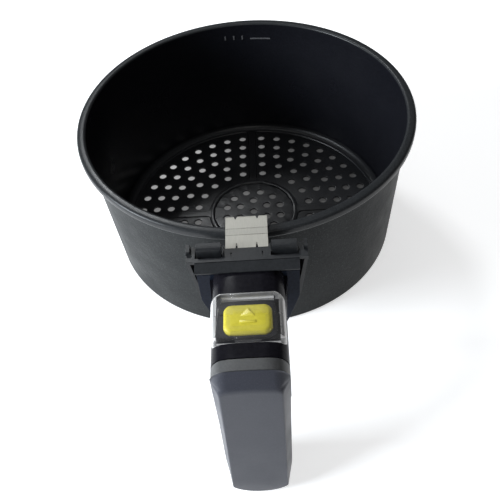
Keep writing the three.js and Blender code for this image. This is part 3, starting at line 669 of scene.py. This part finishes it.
def hole_centres():
    centres = [(0, 0)]
    for radius, count, first in CENTRE_RINGS:
        for i in range(count):
            angle = radians(first + 360 / count * i)
            centres.append((radius * cos(angle), radius * sin(angle)))
    for radius, count in HOLE_ROWS:
        margin = math.asin(SPOKE_CLEARANCE / radius)
        pitch = (pi / 2 - 2 * margin) / (count - 1)
        for quarter in range(4):
            for i in range(count):
                angle = quarter * pi / 2 + margin + pitch * i
                centres.append((radius * cos(angle), radius * sin(angle)))
    return centres


def panel_depth(x, y):
    """Distance into one of the four recessed panels, up to its corner radius."""
    across, along, radius = abs(x) - PANEL_EDGE, abs(y) - PANEL_EDGE, hypot(x, y)
    inner, outer = radius - PANEL_INNER, PANEL_OUTER - radius

    def corner(first, second):
        return PANEL_CORNER - hypot(max(PANEL_CORNER - first, 0), max(PANEL_CORNER - second, 0))

    return min(corner(across, inner), corner(along, inner), corner(across, outer), corner(along, outer))


def blend_step(value, start, end):
    share = min(max((value - start) / (end - start), 0), 1)
    return share * share * (3 - 2 * share)


def floor_height(x, y):
    """Top of the pressed plate: recessed panels between the spokes, a raised ring and a turned-up edge."""
    radius = hypot(x, y)
    beyond = radius - (EDGE_RADIUS - EDGE_FILLET)
    if beyond > 0:
        return RELIEF + EDGE_FILLET - sqrt(max(EDGE_FILLET ** 2 - beyond ** 2, 0))
    bead = abs(radius - RING_RADIUS) / (RING_WIDTH / 2)
    ring = RELIEF + 0.35 * (1 - bead * bead) if bead < 1 else 0
    if radius < RING_RADIUS:
        inside = RING_RADIUS - RING_WIDTH / 2 - radius
        groove = -0.25 if 0 < inside < 0.6 else 0
        return max(ring, RELIEF * 0.35 + groove)
    depth = panel_depth(x, y)
    rim = RELIEF * (1 - blend_step(depth, -0.15, 0.55)) - 0.2 * blend_step(depth, 0.1, 0.5) * (
        1 - blend_step(depth, 0.6, 1.1))
    return max(ring, rim)


def panel_outline(inset):
    """One panel's outline at a depth inside its edge, in the quarter where x and y are positive."""
    middle = PANEL_EDGE + PANEL_CORNER
    near = sqrt((PANEL_INNER + PANEL_CORNER) ** 2 - middle ** 2)
    far = sqrt((PANEL_OUTER - PANEL_CORNER) ** 2 - middle ** 2)
    near_turn = math.degrees(math.atan2(middle, near))
    far_turn = math.degrees(math.atan2(middle, far))
    corner = PANEL_CORNER - inset
    return (arc((near, middle), corner, near_turn + 180, 270, 5)
            + arc((far, middle), corner, 270, 360 + far_turn, 5)
            + arc((0, 0), PANEL_OUTER - inset, far_turn, 90 - far_turn, 40)[1:-1]
            + arc((middle, far), corner, 90 - far_turn, 180, 5)
            + arc((middle, near), corner, 180, 270 - near_turn, 5)
            + arc((0, 0), PANEL_INNER + inset, 90 - near_turn, near_turn, 20)[1:-1])


def floor_loops():
    loops = []
    edge_start = EDGE_RADIUS - EDGE_FILLET
    radii = [edge_start + EDGE_FILLET * sin(radians(72) * i / 8) for i in range(9)] + [EDGE_RADIUS]
    half = RING_WIDTH / 2
    radii += [RING_RADIUS + half * share for share in (-1.4, -1.2, -1, -0.7, -0.35, 0, 0.35, 0.7, 1)]
    for radius in radii:
        loops.append(arc((0, 0), radius, 0, 360, 120)[:-1])
    for turn in range(4):
        for inset in (-0.15, 0.1, 0.3, 0.5, 0.8, 1.1):
            spun = Matrix.Rotation(turn * pi / 2, 2)
            loops.append([tuple(spun @ Vector(point)) for point in panel_outline(inset)])
    return loops


def loops_to_edges(loops):
    """The points of closed loops in one list, and the edges that join them."""
    points, edges = [], []
    for loop in loops:
        start = len(points)
        points += [Vector(point) for point in loop]
        edges += [(start + i, start + (i + 1) % len(loop)) for i in range(len(loop))]
    return points, edges


def make_floor_plate(materials):
    centres = hole_centres()
    loops = floor_loops()
    for x, y in centres:
        loops.append(arc((x, y), HOLE_RADIUS, 0, 360, 20)[:-1])
        loops.append(arc((x, y), HOLE_RADIUS + 0.35, 0, 360, 20)[:-1])
    points, edges = loops_to_edges(loops)
    verts, _, triangles, *_ = delaunay_2d_cdt(points, edges, [], 0, 1e-5)

    def kept(triangle):
        middle = sum((verts[i] for i in triangle), Vector((0, 0))) / 3
        return all((middle.x - x) ** 2 + (middle.y - y) ** 2 > (HOLE_RADIUS * 0.985) ** 2 for x, y in centres)

    def height(vert):
        lowered = any(abs(hypot(vert.x - x, vert.y - y) - HOLE_RADIUS) < 0.05 for x, y in centres)
        return PLATE_TOP + floor_height(vert.x, vert.y) - (0.18 if lowered else 0)

    top = [(vert.x, vert.y, height(vert)) for vert in verts]
    triangles = [triangle for triangle in triangles if kept(triangle)]
    under = [(x, y, z - SHEET) for x, y, z in top]
    made = sheet_solid("perforated_floor", top, under, triangles)
    smooth(made, 50)
    weighted(made)
    piece(made, materials["coating_floor"], "coated_sheet", "basket", "basket_floor")


def sheet_solid(name, top, under, faces):
    """A sheet between matching upper and lower points, with the faces given for the upper side."""
    count = len(top)
    verts = list(top) + list(under)
    sides = {}
    for face in faces:
        for i, start in enumerate(face):
            end = face[(i + 1) % len(face)]
            if (end, start) in sides:
                del sides[(end, start)]
            else:
                sides[(start, end)] = True
    skin = list(map(tuple, faces)) + [tuple(count + i for i in reversed(face)) for face in faces]
    skin += [(end, start, start + count, end + count) for start, end in sides]
    return mesh_object(name, verts, skin)


# ---------------------------------------------------------------- strap
def walk(path, spacing):
    """Points at most a spacing apart along a polyline, each with its distance from the start."""
    walked = [(0, Vector(path[0]))]
    total = 0
    for start, end in zip(path, path[1:]):
        start, end = Vector(start), Vector(end)
        length = (end - start).length
        if length < 1e-6:
            continue
        steps = max(1, math.ceil(length / spacing))
        for i in range(1, steps + 1):
            walked.append((total + length * i / steps, start.lerp(end, i / steps)))
        total += length
    return walked


def make_strap(materials):
    path = rounded([(y, z, radius) for (y, z), radius in zip(STRAP_PATH, STRAP_BENDS)], 6, closed=False)
    walked = walk(path, 2.5)
    distances = [distance for distance, _ in walked]
    places = [place for _, place in walked]
    length = distances[-1]

    def at(distance):
        """Centre line and its normal at a distance from the inner end."""
        index = max(i for i, value in enumerate(distances) if value <= distance + 1e-6)
        index = min(index, len(distances) - 2)
        share = (distance - distances[index]) / (distances[index + 1] - distances[index])
        here = places[index].lerp(places[index + 1], share)

        def normal(i):
            before, after = places[max(i - 1, 0)], places[min(i + 1, len(places) - 1)]
            along = (after - before).normalized()
            return Vector((along.y, -along.x))

        return here, normal(index).lerp(normal(index + 1), share).normalized()

    def distance_at(y):
        """Distance along the strap's top to a place given by its y."""
        for (before, start), (after, end) in zip(walked, walked[1:]):
            if start.x > y >= end.x:
                return before + (after - before) * (start.x - y) / (start.x - end.x)

    bend = distance_at(-91.5)
    notch_end = distance_at(-93.8)
    slots = distance_at(-108.9)
    creases = [distance_at(place) for place in STRAP_CREASES]
    corner = 1.2
    outline = (arc((-STRAP_HALF + corner, corner), corner, 180, 270, 4)
               + arc((STRAP_HALF - corner, corner), corner, 270, 360, 4)
               + arc((STRAP_HALF - corner, length - corner), corner, 0, 90, 4)
               + arc((-STRAP_HALF + corner, length - corner), corner, 90, 180, 4))
    openings = []
    for side in (-1, 1):
        x = side * NOTCH_X
        openings.append(rounded(((x - 1.3, bend - 3, 0.6), (x + 1.3, bend - 3, 0.6),
                                 (x + 1.3, bend - 0.4, 0.3), (x + 0.15, notch_end, 0.1),
                                 (x - 0.15, notch_end, 0.1), (x - 1.3, bend - 0.4, 0.3)), 4))
        x = side * SLOT_X
        openings.append(rounded(((x - 0.25, slots, 0.2), (x + 0.25, slots, 0.2), (x + 0.75, slots + 4.2, 0.4),
                                 (x - 0.75, slots + 4.2, 0.4)), 4))
    points, edges = loops_to_edges([outline, *openings])
    crease_lines = [crease + offset for crease in creases for offset in (-0.35, 0, 0.35)]
    for distance in distances[1:-1] + crease_lines:
        edges.append((len(points), len(points) + 1))
        points += [Vector((-STRAP_HALF, distance)), Vector((STRAP_HALF, distance))]
    verts, _, triangles, *_ = delaunay_2d_cdt(points, edges, [], 0, 1e-5)

    def inside(point, loop):
        crossings = 0
        for (x0, y0), (x1, y1) in zip(loop, loop[1:] + loop[:1]):
            if (y0 > point.y) != (y1 > point.y) and point.x < x0 + (point.y - y0) * (x1 - x0) / (y1 - y0):
                crossings += 1
        return crossings % 2 == 1

    def kept(triangle):
        middle = sum((verts[i] for i in triangle), Vector((0, 0))) / 3
        return inside(middle, outline) and not any(inside(middle, loop) for loop in openings)

    def lifted(vert, side):
        place, normal = at(min(max(vert.y, 0), length))
        crease = 0.16 if min(abs(vert.y - middle) for middle in creases) < 0.1 else 0
        offset = place - normal * (side * STRAP_THICKNESS / 2 - crease)
        return (vert.x, offset.x, offset.y)

    triangles = [tuple(triangle) for triangle in triangles if kept(triangle)]
    top = [lifted(vert, 1) for vert in verts]
    made = sheet_solid("rim_strap_fine", top, [lifted(vert, -1) for vert in verts], triangles)
    bevel(made, 0.22, 2, 50)
    smooth(made, 40)
    weighted(made)
    piece(made, materials["brushed_steel"], "brushed_steel", "basket", "rim_strap")


# ---------------------------------------------------------------- fasteners
def dome(radius, height):
    """Profile of a domed head from its rim to its top, standing on distance 0."""
    steps = 6
    return [(radius, 0), (radius, height * 0.25)] + [
        (radius * cos(radians(90) * i / steps), height * (0.25 + 0.75 * sin(radians(90) * i / steps)))
        for i in range(1, steps + 1)]


def make_rivet(node, materials, head_radius, head):
    low, high = node_box(node)
    centre = ((low.x + high.x) / 2, low.y, (low.z + high.z) / 2)
    length = high.y - low.y
    shank = head_radius / 2
    front = [(radius, head - distance) for radius, distance in reversed(dome(head_radius, head))]
    rear = [(radius, length - head + distance) for radius, distance in dome(head_radius, head)]
    profile = front + [(shank, head + 0.02), (shank, length - head - 0.02)] + rear
    made = turned(node + "_fine", profile, centre, (0, 1, 0), 32)
    smooth(made, 40)
    piece(made, materials["plain_steel"], "plain_steel", "basket", node)


def make_screw(node, materials, axis, head_radius, head, shank):
    """A pan-head screw with a cross recess; the axis points from its tip to its head."""
    low, high = node_box(node)
    middle = (low + high) / 2
    along = Vector(axis)
    length = abs((high - low).dot(along))
    tip = middle - along * (length / 2)
    point = [(0, 0), (shank * 0.5, 0.1), (shank, 1)]
    top = [(radius, length - head + distance) for radius, distance in dome(head_radius, head)]
    under_head = [(shank, length - head - 0.02), (head_radius - 0.1, length - head)]
    made = turned(node + "_fine", point + under_head + top, tip, axis, 32)
    across = head_radius * 0.55
    half = 0.28
    depth = head * 0.6
    crown = tip + along * (length + 0.5)
    foot = tip + along * (length - depth)
    side = along.orthogonal().normalized()
    other = along.cross(side)
    for reach_u, reach_v in ((across, half), (half, across)):
        spread = side * reach_u + other * reach_v
        reached = list(zip(foot - spread, foot + spread, crown - spread, crown + spread))
        cut(made, block("recess", [min(values) for values in reached], [max(values) for values in reached]))
    smooth(made, 30)
    piece(made, materials["plain_steel"], "plain_steel", "basket", node)


# ---------------------------------------------------------------- button group
def make_button(materials):
    low, high = node_box("release_button")
    centre = (0, (low.y + high.y) / 2)
    half_x, half_y = high.x, (high.y - low.y) / 2
    top = high.z - BUTTON_MARK_HEIGHT
    base = top - BUTTON_CAP_DEPTH
    edge, crown = BUTTON_EDGE, BUTTON_CROWN
    rings = [(0.5, base), (0, base + 0.5), (0, top - edge)]
    for i in range(1, 10):
        turn = radians(84) * i / 9
        rings.append((edge * (1 - cos(turn)), top - crown - edge * (1 - sin(turn))))
    for share in (0.2, 0.4, 0.6, 0.8, 0.95):
        rings.append((edge + (half_y - edge) * share, top - crown * (1 - share / 0.95) ** 2))
    loops = []
    for inset, z in rings:
        corner = max(BUTTON_CORNER - inset * 0.7, 0.25)
        reach_y = max(half_y - inset, 0.5)
        outline = rounded_rectangle(half_x - inset, reach_y, min(corner, reach_y - 0.05), centre, 8)
        loops.append([(x, y, z) for x, y in outline])
    made = rings_to_solid("button_cap", loops)
    stem = turned("stem", [(0, 0), (1.7, 0), (2, 0.3), (2, base + 1 - low.z), (0, base + 1 - low.z)],
                  (0, centre[1], low.z), (0, 0, 1), 32)
    join(made, stem)
    smooth(made, 40)
    piece(made, materials["yellow_plastic"], "yellow_plastic", "button", "release_button")
    triangle = rounded(((-3.7, centre[1] + 0.3, 0.5), (3.7, centre[1] + 0.3, 0.5),
                        (0, centre[1] + 4.7, 0.5)), 4)
    bar = rounded_rectangle(3.7, 0.8, 0.4, (0, centre[1] - 2.4), 4)
    # the marks take the lighter yellow, a painted highlight
    for name, outline in (("button_mark_triangle", triangle), ("button_mark_bar", bar)):
        loops = [[(x, y, z) for x, y in outline] for z in (top - 0.8, top + 0.12)]
        mark = rings_to_solid(name, loops)
        bevel(mark, 0.15, 2, 50)
        smooth(mark, 40)
        piece(mark, materials["yellow_mark_painted_highlight"], "yellow_plastic", "button")


def make_spring(materials):
    low, high = node_box("button_spring")
    wire = SPRING_WIRE
    radius = high.x - wire
    turns = SPRING_TURNS
    centre_y = (low.y + high.y) / 2
    steps = int(turns * 40)
    rings = []
    for i in range(steps + 1):
        share = i / steps
        angle = share * turns * 2 * pi
        outward = Vector((cos(angle), sin(angle), 0))
        height = low.z + wire + (high.z - low.z - 2 * wire) * share
        middle = Vector((0, centre_y, height)) + outward * radius
        rings.append([middle + outward * (wire * cos(turn)) + Vector((0, 0, wire * sin(turn)))
                      for turn in (2 * pi * k / 12 for k in range(12))])
    made = rings_to_solid("button_spring_fine", rings)
    smooth(made, 60)
    piece(made, materials["plain_steel"], "plain_steel", "basket", "button_spring")
    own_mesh(made)


# ---------------------------------------------------------------- guard lid
def deck_height(x):
    flat = ARM_HALF - SHOULDER[0]
    share = min(max(abs(x) - flat, 0) / SHOULDER[0], 1)
    return DECK_Z - 0.4 * min(abs(x) / flat, 1) ** 2 - SHOULDER[1] * (1 - sqrt(1 - share * share))


def make_lid(materials):
    low, high = node_box("guard_lid")
    half_x = high.x
    rear = high.y
    front = low.y + LID_TAB_REACH
    hinge_low, hinge_high = node_box("guard_pin_right")
    hinge = ((hinge_low.y + hinge_high.y) / 2, (hinge_low.z + hinge_high.z) / 2)
    pin_end = hinge_high.x
    crown = high.z
    centre = (0, (rear + front) / 2)
    half_y = (rear - front) / 2
    side_wall, end_wall = LID_SIDE_WALL, LID_END_WALL

    def roof(x, reach_x, top, drop):
        return top - drop * (abs(x) / reach_x) ** 2.6

    def shell(reach_x, reach_y, corners, top, drop, fillet, foot):
        """Rings from the foot up the walls, round the top edge and in over the arched roof."""

        def plan(inset):
            rear_corner, front_corner = (max(corner - inset, 0.4) for corner in corners)
            x, y0, y1 = reach_x - inset, centre[1] - reach_y + inset, centre[1] + reach_y - inset
            return rounded(((x, y1, rear_corner), (-x, y1, rear_corner), (-x, y0, front_corner),
                            (x, y0, front_corner)), 10)

        loops = []
        for share in (0, 0.08, 0.4, 0.8):
            loops.append([(x, y, foot(x) + (roof(x, reach_x, top, drop) - fillet - foot(x)) * share)
                          for x, y in plan(0)])
        for i in range(9):
            turn = radians(90) * i / 8
            loops.append([(x, y, roof(x, reach_x, top, drop) - fillet * (1 - sin(turn)))
                          for x, y in plan(fillet * (1 - cos(turn)))])
        last = loops[-1]
        for share in (0.25, 0.5, 0.75, 0.97):
            loops.append([(x, centre[1] + (y - centre[1]) * (1 - share), z) for x, y, z in last])
        return loops

    outer = rings_to_solid("guard_lid_fine", shell(
        half_x, half_y, LID_CORNERS, crown, LID_ARCH, LID_FILLET,
        lambda x: deck_height(min(abs(x), half_x)) + 0.3))
    inner = rings_to_solid("lid_inside", shell(
        half_x - side_wall, half_y - end_wall, LID_INNER_CORNERS, crown - LID_ROOF_THICKNESS, LID_INNER_ARCH,
        LID_INNER_FILLET, lambda x: 80))
    cut(outer, inner, block("heel", (-20, hinge[0], 80), (20, rear + 1, hinge[1])))
    reach = pin_end - 0.2
    knuckle_profile = [(0, -reach), (1, -reach), (1.2, -reach + 0.2),
                       (1.2, reach - 0.2), (1, reach), (0, reach)]
    knuckle = turned("knuckle", knuckle_profile, (0, *hinge), (1, 0, 0), 24)
    tab_outline = rounded(((-5.8, front + 0.6, 0), (5.8, front + 0.6, 0),
                           (5.6, low.y, 0.7), (-5.6, low.y, 0.7)), 5)
    tab = rings_to_solid("tab", [[(x, y, z) for x, y in tab_outline] for z in (94.4, 96.2)])
    bevel(tab, 0.3, 3, 50)
    join(outer, knuckle, tab)
    for side in (-1, 1):
        span = sorted((side * (hinge_low.x - 0.3), side * (half_x - side_wall)))
        cut(outer, block("lug_room", (span[0], rear - 4, 80), (span[1], rear + 1, hinge[1] + 2)))
        hole = [(0, 0), (0.9, 0), (0.9, pin_end - 13.75), (0, pin_end - 13.75)]
        cut(outer, turned("pin_hole", hole, (14.05 * side, *hinge), (side, 0, 0), 16))
    smooth(outer, 35)
    for finish in ("clear_plastic", "clear_wall", "clear_edge_painted_highlight"):
        outer.data.materials.append(materials[finish])
    # Faces on the lid's outer top and foot edges take the whiter copy, a painted highlight line; the walls
    # take the paler one.
    for face in outer.data.polygons:
        middle = TO_BUILD @ face.center
        wall = abs(middle.x) > half_x - side_wall - 0.4 or middle.y > rear - end_wall - 0.3
        on_end = not front + 0.8 < middle.y < rear - 0.9
        outermost = middle.y > front - 0.1 and (abs(middle.x) > half_x - 1 or on_end)
        above_foot = middle.z - deck_height(min(abs(middle.x), half_x))
        on_edge = middle.z > roof(middle.x, half_x, crown, LID_ARCH) - 1.15 or above_foot < 0.7
        face.material_index = 2 if outermost and on_edge else 1 if wall else 0
    piece(outer, materials["clear_plastic"], "clear_plastic", "guard", "guard_lid")


# ---------------------------------------------------------------- grip
def face_y(z):
    """Y of the grip's flat front at height z."""
    slope = (GRIP_FACE_TOP[0] - GRIP_FACE_BOTTOM[0]) / (GRIP_FACE_TOP[1] - GRIP_FACE_BOTTOM[1])
    return GRIP_FACE_TOP[0] + (z - GRIP_FACE_TOP[1]) * slope


def soft_max(first, second, reach):
    """The larger of two values, with the corner between them rounded."""
    near = max(reach - abs(first - second), 0) / reach
    return max(first, second) + near * near * reach / 4


def between(value, stops):
    """Straight-line interpolation in (position, value) stops."""
    for (start, low), (end, high) in zip(stops, stops[1:]):
        if value <= end:
            return low + (high - low) * max(value - start, 0) / (end - start)
    return stops[-1][1]


def grip_side(z):
    """Half the grip's width at height z."""
    share = (z - GRIP_FACE_BOTTOM[1]) / (GRIP_FACE_TOP[1] - GRIP_FACE_BOTTOM[1])
    return GRIP_HALF[0] + (GRIP_HALF[1] - GRIP_HALF[0]) * share


def grip_foot(x, lowest):
    """Height of the grip's round lower end."""
    within = max(1 - abs(x / FOOT_HALF) ** FOOT_FULLNESS, 0)
    return lowest + FOOT_HEIGHT * (1 - within ** (1 / FOOT_FULLNESS))


def front_surface(x, z):
    """Y of the front shell's outside: a flat face, side chamfers, a shoulder and a rounded foot.

    It never reaches past the front of the CAD shell.
    """
    face = face_y(z)
    side = grip_side(z)
    edge = between(z, EDGE_STOPS)
    into_corner = min(max(z - (FACE_EDGE - FACE_CORNER), 0), FACE_CORNER)
    flat_half = FACE_HALF - FACE_CORNER + sqrt(FACE_CORNER ** 2 - into_corner ** 2)
    chamfer = face + (edge - face) * (abs(x) - flat_half) / (side - flat_half)
    shoulder = COLLAR_FRONT - 5.9 * (deck_height(x) - z) / (DECK_Z - FACE_EDGE)
    above_foot = z - grip_foot(x, FRONT_FOOT)
    lift = FOOT_ROUNDING - sqrt(max(FOOT_ROUNDING ** 2 - max(FOOT_ROUNDING - above_foot, 0) ** 2, 0))
    flat = soft_max(face + lift, GRIP_FRONT_LIMIT, 1.2)
    return soft_max(soft_max(flat, chamfer, 0.8), shoulder, 0.7)


def rear_surface(x, z):
    above_foot = max(5 - (z - grip_foot(x, REAR_FOOT)), 0)
    return face_y(z) + GRIP_DEPTH - 7.6 * (abs(x) / 16.4) ** 3.6 - 1.5 * (above_foot / 5) ** 2


def grip_shell(name, levels, half_at, outside, inside):
    """A shell between two surfaces, in columns of points; levels(x) lists the heights of a column."""
    columns = GRIP_COLUMNS
    rings = []
    for column in range(columns + 1):
        share = -cos(pi * column / columns)
        ring_front, ring_back = [], []
        for step, z in enumerate(levels(share * 16.7)):
            x = share * half_at(z)
            ring_front.append((x, outside(x, z, step), z))
            ring_back.append((x, inside(z, step), z))
        rings.append((ring_front, ring_back))
    count = len(rings[0][0])
    verts, faces = [], []
    for ring_front, ring_back in rings:
        verts += ring_front + ring_back
    size = 2 * count
    for column in range(columns):
        here, after = column * size, (column + 1) * size
        for i in range(count - 1):
            faces.append((here + i, here + i + 1, after + i + 1, after + i))
            faces.append((here + count + i, after + count + i, after + count + i + 1, here + count + i + 1))
        faces.append((here, after, after + count, here + count))
        faces.append((here + count - 1, here + size - 1, after + size - 1, after + count - 1))
    for start in (0, columns * size):
        for i in range(count - 1):
            faces.append((start + i, start + count + i, start + count + i + 1, start + i + 1))
    return mesh_object(name, verts, faces)


def make_grip(materials):
    lower, upper = 60, 44

    def front_levels(x):
        foot = grip_foot(x, FRONT_FOOT)
        top = deck_height(min(abs(x), 17.3))
        below = [foot + (ARM_UNDERSIDE - foot) * (i / lower) ** 1.5 for i in range(lower + 1)]
        above = [ARM_UNDERSIDE + (top - ARM_UNDERSIDE) * i / upper for i in range(upper + 1)]
        return below + above

    def front_outside(x, z, step):
        back = COLLAR_FRONT if step > lower else face_y(z) + FRONT_SHELL_DEPTH
        return min(front_surface(x, z), back - 0.02)

    def front_inside(z, step):
        return COLLAR_FRONT if step > lower else face_y(z) + FRONT_SHELL_DEPTH

    front = grip_shell("grip_front_fine", front_levels, grip_side, front_outside, front_inside)
    smooth(front, 40)
    piece(front, materials["grip_plastic"], "grip_plastic", "basket", "grip_front_shell")

    def rear_levels(x):
        foot = grip_foot(x, REAR_FOOT)
        return [foot + (ARM_UNDERSIDE - foot) * (i / lower) ** 1.5 for i in range(lower + 1)]

    rear = grip_shell("grip_rear_fine", rear_levels, lambda z: grip_side(z) - 0.15,
                      lambda x, z, step: rear_surface(x, z),
                      lambda z, step: face_y(z) + FRONT_SHELL_DEPTH + 0.3)
    for screw_node in ("grip_screw_upper", "grip_screw_lower"):
        low, high = node_box(screw_node)
        z = (low.z + high.z) / 2
        cut(rear, turned("seat", [(0, 0), (3, 0), (3, 8), (0, 8)], (0, high.y - 1.9, z), (0, 1, 0), 32))
    smooth(rear, 40)
    piece(rear, materials["black_plastic"], "black_plastic", "basket", "grip_rear_shell")


# ---------------------------------------------------------------- assembly
MOULDED = {
    "handle_base": ("black_plastic", "black_plastic", "basket", 0.45),
    # the shield's blue tint is a painted reflection
    "shield_plate": ("gloss_shield_painted_reflection", "gloss_black_plastic", "basket", 0.5),
    "latch_rocker": ("black_plastic", "black_plastic", "latch", 0.5),
    "arm_housing": ("gloss_arm", "gloss_black_plastic", "basket", 0.3),
    "arm_bottom_cover": ("black_plastic", "black_plastic", "basket", 0.3),
    "button_well": ("gloss_arm", "gloss_black_plastic", "basket", 0.25),
    "grip_collar": ("grey_plastic", "grey_plastic", "basket", 0.35),
    "handle_tang": ("brushed_steel", "brushed_steel", "basket", 0.2),
    "latch_axle": ("plain_steel", "plain_steel", "basket", 0.2),
    "guard_pin_left": ("plain_steel", "plain_steel", "basket", 0.15),
    "guard_pin_right": ("plain_steel", "plain_steel", "basket", 0.15),
}

make_camera()
make_world()
make_floor()
area_light("window", (-1.1, -0.32, 0.5), (0, 0, 0.06), (0.6, 0.5), 29, (0.88, 0.94, 1))
area_light("overhead", (-0.1, 0.25, 1.3), (0, 0, 0.05), (0.9, 0.5), 1.5, (0.97, 0.98, 1))
area_light("front", (0.1, -0.9, 0.9), (0, 0, 0.05), (0.4, 0.3), 1.2, (1, 0.98, 0.96))
area_light("rear", (-0.34, 0.8, 0.95), (0, 0, 0.08), (0.22, 0.22), 5, (0.95, 0.98, 1))
bpy.context.scene.view_settings.view_transform = "Standard"

MATERIALS = make_materials()
make_shell(MATERIALS)
make_level_marks(MATERIALS)
make_floor_plate(MATERIALS)
make_strap(MATERIALS)
for strap_rivet in ("strap_rivet_left", "strap_rivet_right"):
    make_rivet(strap_rivet, MATERIALS, 3, 1.1)
for tang_rivet in ("tang_rivet_lower", "tang_rivet_upper"):
    make_rivet(tang_rivet, MATERIALS, 2.4, 0.5)
for base_screw in ("base_screw_left", "base_screw_right"):
    make_screw(base_screw, MATERIALS, (0, 1, 0), 2.6, 1.5, 1.4)
for grip_screw in ("grip_screw_upper", "grip_screw_lower"):
    make_screw(grip_screw, MATERIALS, (0, 1, 0), 2.6, 1.6, 1.4)
for arm_screw in range(1, 5):
    make_screw(f"arm_screw_{arm_screw}", MATERIALS, (0, 0, -1), 2.1, 0.7, 1.1)
for moulded_node, (finish, finish_slot, body, width) in MOULDED.items():
    piece(refined(moulded_node, width), MATERIALS[finish], finish_slot, body, moulded_node)
make_button(MATERIALS)
make_spring(MATERIALS)
make_lid(MATERIALS)
make_grip(MATERIALS)
